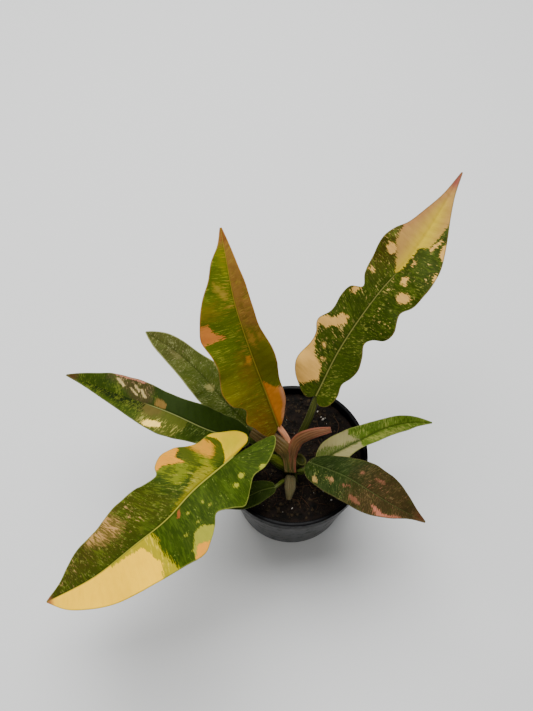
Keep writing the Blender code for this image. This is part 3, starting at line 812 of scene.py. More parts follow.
# Noise values crowd round their middle like a bell curve, so that gives the cut for a share.
SPREAD = statistics.NormalDist(0.5 * (1 + CLUMPING), 0.09 * math.hypot(1, CLUMPING))


def scattered(tree, vein, k, mark):
    """Where the flecks of marking K lie: fine noise, gathered by a slow one 10 mm wide."""
    grain = node(tree, "Mapping", {"Vector": vein, "Location": (17.0 * k, 0.0, 0.0),
                                   "Scale": (1 / mark["size"], 1 / mark["length"], 1.0)})
    grain = node(tree, "TexNoise", {"Vector": grain, "Scale": 1.0, "Detail": 3.0,
                                    "Roughness": 0.6}, "Fac")
    clump = node(tree, "Mapping", {"Vector": vein, "Location": (3.0, 23.0 * k, 7.0),
                                   "Scale": (0.13, 0.07, 1.0)})
    clump = node(tree, "TexNoise", {"Vector": clump, "Scale": 1.0, "Detail": 2.0}, "Fac")
    grain = node(tree, "Math", {0: clump, 1: CLUMPING, 2: grain}, operation="MULTIPLY_ADD")
    cut = SPREAD.inv_cdf(1 - mark["amount"])
    return node(tree, "MapRange", {0: grain, 1: cut - 0.01, 2: cut + 0.04, 3: 0.0,
                                   4: mark["strength"]})


def marked(tree, vein, tint, marks):
    """Lay MARKS over TINT in their order. Noise 1 mm wide and 5 mm long frays their borders."""
    border = node(tree, "Mapping", {"Vector": vein, "Scale": (1.1, 0.2, 1.0)})
    border = node(tree, "TexNoise", {"Vector": border, "Scale": 1.0, "Detail": 5.0,
                                     "Roughness": 0.7}, "Fac")
    for k, mark in enumerate(marks):
        cover = None
        if mark["outlines"]:
            depth = node(tree, "Attribute", out="Fac", attribute_name="mark_%d" % k)
            wander = node(tree, "Math", {0: border, 1: 8 * mark["ragged"], 2: -4 * mark["ragged"]},
                          operation="MULTIPLY_ADD")
            depth = node(tree, "Math", {0: depth, 1: wander}, operation="ADD")
            cover = node(tree, "MapRange", {0: depth, 1: -mark["soft"], 2: mark["soft"],
                                            3: 0.0, 4: mark["strength"]})
        if "amount" in mark:
            spots = scattered(tree, vein, k, mark)
            cover = spots if cover is None else node(tree, "Math", {0: cover, 1: spots},
                                                     operation="MULTIPLY")
        colour = rgb(mark["colour"])
        for j, (tone, _, soft) in enumerate(mark["tones"]):
            depth = node(tree, "Attribute", out="Fac", attribute_name="mark_%d_%d" % (k, j))
            share = node(tree, "MapRange", {0: depth, 1: -soft, 2: soft},
                         interpolation_type="SMOOTHSTEP")
            colour = node(tree, "Mix", {0: share, 6: colour, 7: rgb(tone)}, 2, data_type="RGBA")
        tint = node(tree, "Mix", {0: cover, 6: tint, 7: colour}, 2, data_type="RGBA")
    return tint


print("flecks over 5% need noise above", round(SPREAD.inv_cdf(0.95), 2))


# %% Veins and rim
def veined(tree, vein, tint, paint):
    """Faint side veins, a thin rim, and a pale midrib in a channel darkened as painted shade, laid over
    TINT.
    """
    edge, rib = (node(tree, "Attribute", out="Fac", attribute_name=name) for name in ("edge", "rib"))
    lines = node(tree, "SeparateXYZ", {0: vein}, "X")
    lines = node(tree, "Math", {0: lines, 1: VEIN_STEP / 2}, operation="PINGPONG")
    lines = node(tree, "MapRange", {0: lines, 1: 0.0, 2: 0.35, 3: paint["lines"], 4: 0.0})
    rim = node(tree, "MapRange", {0: edge, 1: 0.35, 2: 0.8, 3: 0.6, 4: 0.0})
    plan = node(tree, "Attribute", out="Vector", attribute_name="plan")
    along = node(tree, "SeparateXYZ", {0: plan}, "X")
    end, wide = paint["rib_end"], paint["rib_width"]
    fade = node(tree, "MapRange", {0: along, 1: end - 8, 2: end, 3: 1.0, 4: 0.0})
    # Painted shade: the channel along the pale rib is darkened, as if shadowed by its sides.
    crease_shade = node(tree, "MapRange", {0: rib, 1: 1.2 * wide, 2: 3.2 * wide, 3: paint["crease_shade"], 4: 0.0})
    band = node(tree, "MapRange", {0: rib, 1: 0.6 * wide, 2: 1.2 * wide,
                                   3: paint["rib_strength"], 4: 0.0})
    crease_shade, band = (node(tree, "Math", {0: share, 1: fade}, operation="MULTIPLY")
                    for share in (crease_shade, band))
    for share, colour, blend in ((lines, paint["rib"], "MIX"), (rim, paint["rim"], "MIX"),
                                 (crease_shade, "#5c6430", "MULTIPLY"), (band, paint["rib"], "MIX")):
        tint = node(tree, "Mix", {0: share, 6: tint, 7: rgb(colour)}, 2, data_type="RGBA",
                    blend_type=blend)
    return tint


print("the pale rib is", [2 * half for half in RIB_WIDTHS], "mm wide from base to tip")


# %% Leaf skin
def leaf_skin(name, paint, under=False):
    """The finish of one side of a leaf."""
    made, tree, shader = start_material(
        name, IOR=1.42, Specular_IOR_Level=0.04, Specular_Tint=rgb("#fff6d0"),
        Subsurface_Weight=0.12, Subsurface_Radius=(0.8, 1.0, 0.3), Subsurface_Scale=1.0 * MM)
    vein = node(tree, "Attribute", out="Vector", attribute_name="vein")
    tint, clouds, streak = green_tissue(tree, vein, paint)
    tint = marked(tree, vein, tint, paint["marks"])
    tint = veined(tree, vein, tint, paint)
    # Broad tissue is never one tone: a low, wide mottle darkens it here and there.
    mottle = node(tree, "Mapping", {"Vector": vein, "Scale": (0.35, 0.12, 1.0),
                                    "Location": (5.0, 9.0, 0.0)})
    mottle = node(tree, "TexNoise", {"Vector": mottle, "Scale": 1.0, "Detail": 4.0}, "Fac")
    mottle = node(tree, "MapRange", {0: mottle, 1: 0.45, 2: 0.75, 3: 0.0, 4: paint["mottle"]})
    tint = node(tree, "Mix", {0: mottle, 6: tint, 7: rgb("#6a5a30")}, 2, data_type="RGBA",
                blend_type="MULTIPLY")
    if under:
        # The lower skin has no palisade cells, so it looks paler and duller.
        tint = node(tree, "Mix", {0: 0.35, 6: tint, 7: rgb("#59622f")}, 2, data_type="RGBA")
    tree.links.new(tint, shader.inputs["Base Color"])
    smoothest = 0.55 if under else 0.4
    gloss = node(tree, "MapRange", {0: clouds, 1: 0.0, 2: 1.0, 3: smoothest, 4: smoothest + 0.12})
    tree.links.new(gloss, shader.inputs["Roughness"])
    # The relief is the streaks and cells of 0.45 mm, coarser than real ones so that they show.
    cells = node(tree, "TexNoise", {"Vector": vein, "Scale": 1 / 0.45, "Detail": 2.0}, "Fac")
    relief = node(tree, "Math", {0: streak, 1: 2.0, 2: cells}, operation="MULTIPLY_ADD")
    bump = node(tree, "Bump", {"Height": relief, "Strength": 0.35, "Distance": 0.12 * MM})
    tree.links.new(bump, shader.inputs["Normal"])
    return made


print("a leaf gets an upper and a lower skin")


# %% Stalk skin
def stalk_skin(name, dark, pale, stripe):
    """A petiole: smooth and firm, with lengthwise stripes."""
    made, tree, shader = start_material(name, Roughness=0.42, Specular_IOR_Level=0.06)
    vein = node(tree, "Attribute", out="Vector", attribute_name="vein")
    # "vein" runs round the stalk from -1 to 1 and along it in mm, so both noises are drawn out.
    along = node(tree, "Mapping", {"Vector": vein, "Scale": (2.2, 2.2, 0.05)})
    line = node(tree, "TexNoise", {"Vector": along, "Scale": 1.0, "Detail": 3.0}, "Fac")
    blend = node(tree, "MapRange", {0: line, 1: 0.35, 2: 0.65})
    tint = node(tree, "Mix", {0: blend, 6: rgb(dark), 7: rgb(pale)}, 2, data_type="RGBA")
    thin = node(tree, "Mapping", {"Vector": vein, "Scale": (5.0, 5.0, 0.07)})
    thin = node(tree, "TexNoise", {"Vector": thin, "Scale": 1.0, "Detail": 2.0}, "Fac")
    cover = node(tree, "MapRange", {0: thin, 1: 0.56, 2: 0.64, 3: 0.0, 4: 0.7})
    tint = node(tree, "Mix", {0: cover, 6: tint, 7: rgb(stripe)}, 2, data_type="RGBA")
    tree.links.new(tint, shader.inputs["Base Color"])
    bump = node(tree, "Bump", {"Height": thin, "Strength": 0.3, "Distance": 0.25 * MM})
    tree.links.new(bump, shader.inputs["Normal"])
    return made


print("a petiole gets a skin of three colours: dark, pale and stripe")

# %% Petiole
PETIOLE_SIDES, PETIOLE_RINGS = 28, 60
GROOVE_DEPTH = 0.28        # share of the petiole's radius


def stem_side(turn, height, out):
    """A point OUT mm from the stem's side, at TURN degrees round it."""
    r = out + float(np.interp(height, (SOIL_TOP, STEM_TOP), (5.6, 4.6)))
    return (STEM_X + r * math.cos(math.radians(turn)), STEM_Y + r * math.sin(math.radians(turn)),
            height + 0.45 * out)


def groove(stalk, path):
    """Press a shallow channel along the upper side of a petiole."""
    centre, _ = spline(path, PETIOLE_RINGS)
    ahead = unit(np.gradient(centre, axis=0))
    top = unit(np.array([0, 0, 1.0]) - ahead * ahead[:, 2:3])
    shape = points_of(stalk)
    nearest = np.argmin(((shape[:, None, :] - centre[None]) ** 2).sum(2), axis=1)
    arm = shape - centre[nearest]
    size = np.linalg.norm(arm, axis=1) + 1e-9
    facing = (arm * top[nearest]).sum(1) / size
    press = GROOVE_DEPTH * np.clip((facing - 0.72) / 0.28, 0, 1)
    move_points(stalk, centre[nearest] + arm * (1 - press)[:, None])


print("a petiole leaves the stem at", [round(c, 1) for c in stem_side(75, 93, 0)])

# %% Assemble a leaf
RIB_SEAT = (0.0, 7.0)      # where the petiole runs along the underside, mm from the blade's base


def finish_leaf(blade, node_name, paint, petiole, girth, stalk_colours):
    """Mark, thicken and colour BLADE, add its petiole and hand it to the frame."""
    paint = {**PLAIN, **paint}
    for k, mark in enumerate(paint["marks"]):
        if mark["outlines"]:
            depth = deepest(blade.plan, mark["outlines"])
            if mark["side"]:
                depth = np.minimum(depth, 8 * mark["side"] * blade.plan[:, 1] - 1)
            attach(blade.obj, "mark_%d" % k, depth)
        for j, (_, outlines, _) in enumerate(mark["tones"]):
            attach(blade.obj, "mark_%d_%d" % (k, j), deepest(blade.plan, outlines))
    blade.obj.data.materials.append(leaf_skin(node_name + " upper skin", paint))
    blade.obj.data.materials.append(leaf_skin(node_name + " lower skin", paint, under=True))
    blade.thicken()
    seat, _, up = blade.rib.frame(np.array(RIB_SEAT))
    # The petiole runs on under the blade and ends in its rib, so that the two overlap.
    path = list(petiole) + [seat[0] - 0.85 * girth * up[0], seat[1] - 1.6 * up[1]]
    stalk = strand("petiole", path, (girth * 1.2, girth, girth, girth * 0.95, 1.3),
                   PETIOLE_SIDES, PETIOLE_RINGS)
    groove(stalk, path)
    stalk.data.materials.append(stalk_skin(node_name + " petiole skin", *stalk_colours))
    leaf = join(node_name + "_blade", [blade.obj, stalk])
    smooth(leaf, 65)
    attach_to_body(leaf, "root")
    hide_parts(node_name)
    print(node_name, "faces:", len(leaf.data.polygons), "materials:", len(leaf.data.materials))


print("markings reach the shader as attributes mark_0, mark_1 and so on")

# %% [markdown]
# ### Back right leaf
#
# The tallest leaf: olive green, sprinkled with pale flecks, with a peach tip that turns yellow
# along the midrib and pink along the margin.

# %% Leaf: back right
blade = Blade(
    "leaf_back_right_blade", rows=190, half_columns=30, fold=(8, 8), wave=2.2, wavelength=34,
    midrib=[(15, 25, 132), (31, 49, 158), (53, 73, 184), (76, 94, 203), (96, 122, 215),
            (110, 146, 222)],
    left=[(-1, 0.6), (-4, 6), (0, 13), (9, 20), (20, 23), (31, 20), (39, 20), (47, 23),
          (56, 19), (67, 20), (76, 18), (81, 11), (88, 16), (99, 20), (112, 22), (125, 20),
          (135, 14), (148, 9), (164, 4), (182, 0.5)],
    right=[(-1, 0.6), (-5, 5), (-2, 11), (7, 14), (16, 13), (24, 17), (33, 19), (42, 17),
           (50, 13), (56, 16), (62, 24), (71, 26), (82, 21), (92, 25), (104, 26), (116, 23),
           (132, 16), (148, 9), (164, 3.5), (182, 0.5)])
tip = [
    (190, 0), (165, -10), (150, -16), (141, -21), (133, -21), (130, -16), (123, -15), (116, -13),
    (110, -8), (101, -1), (103, 1), (111, 1), (118, 1), (123, 2), (126, 7), (130, 8), (137, 9),
    (146, 10), (155, 12), (167, 9)]
islands = [
    [(135, 11), (133, 12.5), (124, 9.5), (126, 8)],
    [(135, 16), (133, 21), (123, 20), (124, 16), (130, 14)],
    [(115, 22), (114, 27), (111, 27), (111.5, 21.5)],
    [(115, 2), (114, 6), (111, 5)],
    [(102, 5.5), (104, 9), (101, 10), (100, 13), (98.5, 10), (99, 7)],
    [(91, 11), (94, 12), (96.5, 16), (95.5, 20.5), (92, 20), (89, 18), (88, 14)],
    [(74, -16.5), (79, -15.5), (80, -11.5), (74, -12.5)],
    [(92, -18), (94, -12.5), (91, -12)],
    [(116, -13), (115, -17), (110, -16), (108, -12), (111, -9)]]
base_patch = [
    [(48, -23), (52, -20), (54, -14), (59, -11), (59, -7.5), (55, -5.5), (50, -9), (47, -14), (45, -15),
     (45, -22)],
    [(49, -29), (48, -21), (42, -20), (31, -17), (26, -13), (21, -6), (11, -3), (8, -8), (4, -11),
     (3, -14), (-2, -22), (12, -29)],
    [(34.5, -12.5), (33, -11), (32.5, -9), (34.5, -9)],
    [(27.5, -8.5), (27, -5.5), (25, -5.5), (25.5, -8.5)]]
paint = dict(
    ground="#2e3a0a", shade="#232e07", streak="#515722", rib="#6c6a34", rim="#5c4f22", rib_end=104,
    marks=[
        patch("#363009", [[(60, -30), (200, -30), (200, 0), (110, -2)]], 3, 8, strength=0.9),
        patch("#1f2c06", [[(50, 2), (85, 2), (85, 30), (55, 30)]], 3, 6, strength=0.6),
        patch("#2c3a0a", [[(-10, 2), (34, 2), (30, 30), (-10, 30)]], 3, 6, strength=0.6),
        flecks("#4f5c16", 0.28, 1.1, 5.0, strength=0.4),
        flecks("#74742e", 0.09, 0.9, 3.2, strength=0.75),
        flecks("#a58c4c", 0.05, 1.4, 3.0, [box(60, 135, -30, 30)], 12),
        flecks("#8f8a3c", 0.06, 1.6, 2.2, [box(0, 60, 2, 30)], 8, strength=0.8),
        flecks("#a58c4c", 0.12, 1.0, 4.5, [[(18, -18), (50, -24), (58, -3), (20, -3)]], 3),
        flecks("#b09650", 0.22, 1.0, 5.0, [[(86, 2), (102, 2), (103, 10), (88, 10)]], 3),
        patch("#93713a", [tip], 1.3, 0.2, tones=[
            ("#a89020", [[(92, -3), (130, -4), (152, -2), (158, 0), (150, 3), (125, 8), (98, 4)]], 6),
            ("#8c583e", [[(200, 0), (176, 0), (160, -5), (140, -11), (126, -17), (140, -34),
                (200, -9)]], 5),
            ("#7c4238", [box(170, 200, -8, 8)], 5)]),
        patch("#bd924a", islands + base_patch, 1.3, 0.2)])
finish_leaf(blade, "leaf_back_right", paint, girth=2.7,
            petiole=[stem_side(75, 93, -3), stem_side(75, 96, 4), (5.2, 5, 110), (11.2, 15, 121)],
            stalk_colours=("#1f240a", "#30340f", "#4c4e1e"))

# %% [markdown]
# ### Back middle leaf
#
# A young leaf. New growth comes out in orange and salmon, and turns to olive as it greens. Its
# right half is folded up, so it is seen edge on, tan above and bright orange at the base. Its
# golden glow is partly painted light: light shining through the blade from behind, laid into its
# colours.

# %% Leaf: back middle
blade = Blade(
    "leaf_back_middle_blade", rows=170, half_columns=28, roll=(10, 10), fold=(18, 50), wave=1.8,
    wavelength=32, phase=1.0,
    midrib=[(-11, 7, 120), (-20, 20, 150), (-30, 36, 180), (-39, 55, 205), (-44, 75, 222),
            (-48, 95, 232)],
    left=[(-1, 1), (-4, 5), (-2, 10), (5, 14), (13, 17), (20, 21), (28, 18), (34, 20),
          (41, 26), (51, 29), (60, 27), (69, 25), (78, 26), (88, 29), (98, 26), (110, 20),
          (120, 14), (131, 10), (141, 4), (152, 0.5)],
    right=[(-1, 0.8), (3, 3.5), (15, 9), (31, 14), (46, 15), (62, 18), (72, 19), (88, 14.5),
           (103, 15), (117, 14), (128, 9.5), (140, 5), (152, 0.5)])
folded_edge = [(160, 0), (160, 6), (133, 22), (85, 24), (85, 0)]
# The gold of this blade is partly painted light, the glow of light shining through it from behind.
paint = dict(
    ground="#565c0e", shade="#525c0c", streak="#78771f", rib="#857622", rim="#8a5c24", streaks=0.5,
    rib_width=1.1,
    marks=[
        patch("#3c4a09", [box(72, 150, -40, 0)], 4, 14, side=-1, strength=0.75),
        patch("#6c600c", [[(-10, -40), (62, -40), (52, 0), (-10, 0)]], 5, 16, side=-1, strength=0.75),
        patch("#6d4c08", [[(-10, -40), (22, -40), (26, 0), (-10, 0)]], 4, 10, side=-1, strength=0.85),
        flecks("#8a8830", 0.18, 0.55, 6.0, strength=0.6),
        flecks("#9a6420", 0.05, 1.0, 3.0, [box(-10, 45, -30, 0)], 6),
        patch("#85602a", [[(160, -6), (160, 6), (133, 22), (85, 24), (85, -6)]], 3, 3, side=1),
        flecks("#8c7028", 0.25, 0.9, 9.0, [[(160, -6), (160, 6), (133, 22), (60, 24), (60, -6)]], 6),
        patch("#59570f", [[(86, 0), (80, 24), (42, 24), (42, -6), (80, -6)]], 4, 7, side=1,
            strength=0.9),
        patch("#967026", [[(84, 10), (85, 16), (78, 16), (78, 11)], [(75, 1), (85, 3), (80, 8),
            (72, 6)]], 2, 2, strength=0.8),
        patch("#bf7628", [[(42, -6), (42, 3), (39, 8), (41, 22), (15, 22), (-6, 8), (-6, -6)]], 1.0,
            0.8, side=1, tones=[
            ("#c08462", [[(44, 13), (44, 24), (15, 24), (-6, 9), (-6, 3), (10, 6), (24, 11)]], 2)]),
        patch("#b46c2e", [[(101, -34), (97, -24), (96, -21), (90, -19), (86, -14), (84, -13), (85, -20),
            (85, -25), (84, -34)]], 1.2, 0.3),
        flecks("#5a5012", 0.22, 0.9, 8.0, [folded_edge], 3, strength=0.7),
        flecks("#a8803c", 0.12, 0.7, 7.0, [folded_edge], 3, strength=0.7),
        patch("#8c7428", [[(118, -11), (117, -8), (112, -5), (109, -3), (107, -4), (109, -8),
            (114, -11)]], 1.5, 1.2, strength=0.7),
        patch("#6a5811", [[(108, -30), (106, -13), (99, -12), (98, -30)]], 3, 4, strength=0.7),
        patch("#68660f", [[(142, -4), (138, -1), (124, -1), (122, -3), (133, -6)]], 2, 2, strength=0.6),
        patch("#b87c28", [[(67, -4), (66, -1.5), (61, -1), (59, -3.5), (62, -5.5)]], 1.5, 0.8),
        patch("#6a4c0c", [[(70, -8), (60, -1), (48, -1), (46, -8), (56, -12)]], 4, 5, strength=0.6),
        patch("#7c4624", [box(142, 160, -3, 3)], 2, 4)])
finish_leaf(blade, "leaf_back_middle", paint, girth=2.3,
            petiole=[(-2, -12, STEM_TOP - 3), (-2.6, -6.5, 103), (-4.5, 0.6, 108.5), (-7.7, 4.8, 114)],
            stalk_colours=("#aa6c48", "#c08460", "#cf9c80"))

# %% [markdown]
# ### Back left leaf
#
# An older, dull green leaf with cream streaks along its veins.

# %% Leaf: back left
blade = Blade(
    "leaf_back_left_blade", rows=130, half_columns=22, fold=(12, 12), wave=1.0, wavelength=36,
    midrib=[(-33, 16, 101), (-48, 29, 111), (-66, 47, 121), (-84, 62, 127), (-106, 77, 128)],
    left=[(-1, 1), (1, 5), (10, 10), (22, 13), (36, 15), (50, 15), (64, 13), (77, 11),
          (89, 8), (98, 4), (104, 0.5)],
    right=[(-1, 1), (1, 5), (10, 10), (22, 14), (36, 15), (50, 13), (64, 10), (77, 9),
           (89, 7.5), (98, 4), (104, 0.5)])
paint = dict(
    ground="#444b17", shade="#353f11", streak="#5c6238", rib="#1d2808", rim="#8f9060",
    rib_strength=0.35, crease_shade=0.2,
    marks=[
        patch("#383714", [[(70, -20), (110, -20), (110, 20), (60, 20)]], 3, 10, strength=0.7),
        patch("#25330a", [box(-5, 28, -20, 20)], 3, 10, strength=0.6),
        flecks("#4d5526", 0.30, 1.1, 5.0, strength=0.5),
        flecks("#74764a", 0.18, 0.6, 2.2, strength=0.65),
        flecks("#8d8258", 0.05, 0.7, 4.0, [[(45, -12), (95, -12), (95, 3), (55, 3)]], 5),
        patch("#8a824c", [[(41, -4.5), (40, 0), (37, 1.5), (35, 0.5), (35, -3), (38, -5)]], 0.9, 0.8,
            strength=0.7),
        patch("#8f874e", [[(54, 12.5), (52, 18), (43, 18), (43, 11.5)]], 1.0, 0.8, strength=0.75),
        patch("#7c7048", [[(77, -3), (71, 0), (65, -2), (71, -5)]], 1.5, 1.2, strength=0.3)])
finish_leaf(blade, "leaf_back_left", paint, girth=2.0,
            petiole=[stem_side(120, 84, -3), stem_side(120, 86, 4), (-16, 3, 92), (-26, 11, 97)],
            stalk_colours=("#262f0a", "#384312", "#565c2c"))

# %% [markdown]
# ### Left leaf
#
# Half of it is plain dark green. The other parts are speckled, marbled in bronze, and edged with
# pink where the sun reached the pale tissue.

# %% Leaf: left
blade = Blade(
    "leaf_left_blade", rows=150, half_columns=24, fold=(12, 12), wave=1.3, wavelength=40,
    midrib=[(-32, 4, 107), (-56, 3, 120), (-87, 14, 129), (-123, 28, 129), (-162, 47, 119)],
    left=[(-1, 1), (1, 6), (10, 11), (22, 13), (34, 13), (43, 15), (52, 18), (61, 19),
          (72, 17), (84, 14), (98, 10), (114, 6), (128, 3), (143, 0.5)],
    right=[(-1, 1), (1, 6), (10, 12), (24, 15), (38, 15), (52, 13), (66, 13), (80, 14),
           (94, 14), (107, 13), (119, 9), (132, 5), (143, 0.5)])
paint = dict(
    ground="#2a380b", shade="#202d08", streak="#49511f", rib="#6f7440", rim="#545a2a", rib_end=80,
    lines=0.0,
    marks=[
        patch("#31400c", [box(74, 146, -20, -2)], 2, 5, side=-1, strength=0.5),
        patch("#101b04", [[(132, -0.5), (112, -4.5), (90, -6.5), (74, -7.5), (73, 2), (132, 2)]], 0.9,
            1.5, side=-1, strength=0.95),
        flecks("#626a20", 0.28, 0.7, 2.5, [box(72, 150, -25, 25)], 3, strength=0.75),
        flecks("#5f6a30", 0.14, 0.8, 3.0, [box(-5, 50, -25, 0)], 2, strength=0.8),
        patch("#39301a", [[(112, 9), (112, 20), (79, 20), (76, 12), (75, 2), (81, -6), (93, 3),
            (103, 8)]], 1.4, 2, side=1, strength=0.8),
        flecks("#8a7050", 0.16, 0.6, 2.5, [[(113, 9), (112, 20), (79, 20), (76, 4), (84, 2), (100, 8)]],
            2, strength=0.8),
        flecks("#3c4816", 0.28, 0.7, 2.5, [[(113, 9), (112, 20), (79, 20), (72, 6), (72, 2), (100, 4)]],
            2, strength=0.8),
        flecks("#a08a5c", 0.10, 0.9, 3.5, [[(110, 10), (108, 14), (82, 12), (78, 4), (84, 2),
            (100, 8)]], 1),
        patch("#1f2d0b", [[(78, 22), (76, 12), (72, 8), (66, 4), (63, 0), (63, -6), (-8, -6),
            (-8, 22)]], 1.4, 0.8, side=1),
        patch("#444a15", [[(79, 6), (46, 6), (46, -4), (48, -10), (51, -16), (55, -24), (70, -24),
            (77, -17), (80, -13), (78, -7)]], 1.0, 0.5, side=-1),
        flecks("#8a8440", 0.26, 1.0, 5.0, [[(78, -8), (46, -8), (52, -20), (78, -17)]], 2),
        patch("#564a22", [[(80, 4), (68, 4), (64, -3), (70, -8), (78, -7)]], 2.2, 2, side=-1,
            strength=0.8),
        patch("#fcd464", [[(75, -14.6), (73, -12), (66, -10), (62, -10.6), (62, -13.4), (67, -15.5),
            (73, -16.6)]], 0.8, 0.4, strength=0.9),
        patch("#b09a66", [[(106.5, 10.2), (103.5, 11), (96.5, 7), (98, 5.8)], [(94, 7.2), (92, 7),
            (85, 3.8), (86.5, 3)], [(86, 8.2), (84, 8.4), (79, 4), (81, 3.2)], [(91, 9.6), (86, 5.6),
            (84.8, 6.4), (89.5, 10.4)]], 0.5, 0.3, strength=0.8),
        patch("#745829", [[(72, 6), (67, 6), (64.5, 4.5), (64.5, 1.5), (67, 0.5), (72, 1)]], 0.9, 0.5,
            strength=0.85),
        patch("#a86c5a", [[(112, 12.2), (100, 12.5), (90, 12.8), (84, 12.3), (79, 20), (112, 20)]], 0.5,
            0.4, strength=0.8),
        patch("#4a2a1c", [box(136, 150, -4, 4)], 0.6, 3, strength=0.7)])
finish_leaf(blade, "leaf_left", paint, girth=2.2,
            petiole=[stem_side(165, 88, -3), stem_side(165, 89, 4), (-17, -6, 94.5), (-25, 0, 101)],
            stalk_colours=("#262f0a", "#384312", "#565c2c"))

# %% [markdown]
# ### Front left leaf
#
# The widest leaf comes straight at the viewer. One half of its end is clear yellow, bordered by
# a lime zone where green and pale cells mix, and its left lobe is yellow too.

# %% Leaf: front left
blade = Blade(
    "leaf_front_left_blade", rows=200, half_columns=34, fold=(8, 8), wave=1.8, wavelength=38,
    lift=(7, 0), sweep=10, back=8,
    midrib=[(-48, -28, 138), (-66, -47, 144), (-83, -66, 142), (-103, -80, 134),
            (-131, -96, 115), (-165, -107, 92)],
    left=[(-9, 0.2), (-22, 3.2), (-31, 6), (-38, 10), (-34, 15), (-26, 19),
          (-18, 21), (-9, 20), (0, 25), (8, 30), (14, 32), (20, 27), (28, 22), (36, 27),
          (44, 32), (50, 35), (60, 32), (72, 30), (88, 28), (106, 24), (124, 18), (142, 11),
          (158, 0.5)],
    right=[(-9, 0.05), (-21, 0.9), (-26, 2), (-28.5, 6), (-25, 12), (-18, 17),
           (-9, 22), (2, 22), (10, 25), (17, 30), (25, 32), (32, 29), (36, 24), (46, 26), (58, 29),
           (72, 28), (88, 25), (106, 23), (122, 20), (133, 15), (144, 7), (158, 0.5)])
yellow_end = [
    (166, 6), (100, 6), (100, -2), (93, -2.5), (85, -3), (80, -4.5), (75, -4), (73, -8), (71, -12),
    (70, -18), (68, -19), (68, -22), (71, -28), (72, -38), (95, -36), (121, -30), (140, -20), (166, -8)]
lime_zone = [
    (112, 6), (112, -4), (96, -7), (84, -9), (80, -14), (78, -24), (80, -38), (61, -36), (62, -29),
    (63, -22), (65, -14), (64, -6), (66, 6)]
yellow_lobe = [
    (0, -6), (-1, 0), (-5, 3), (-8, 7), (-11, 13), (-10, 18), (-6, 22), (-4, 28), (-22, 28), (-36, 14),
    (-36, -6)]
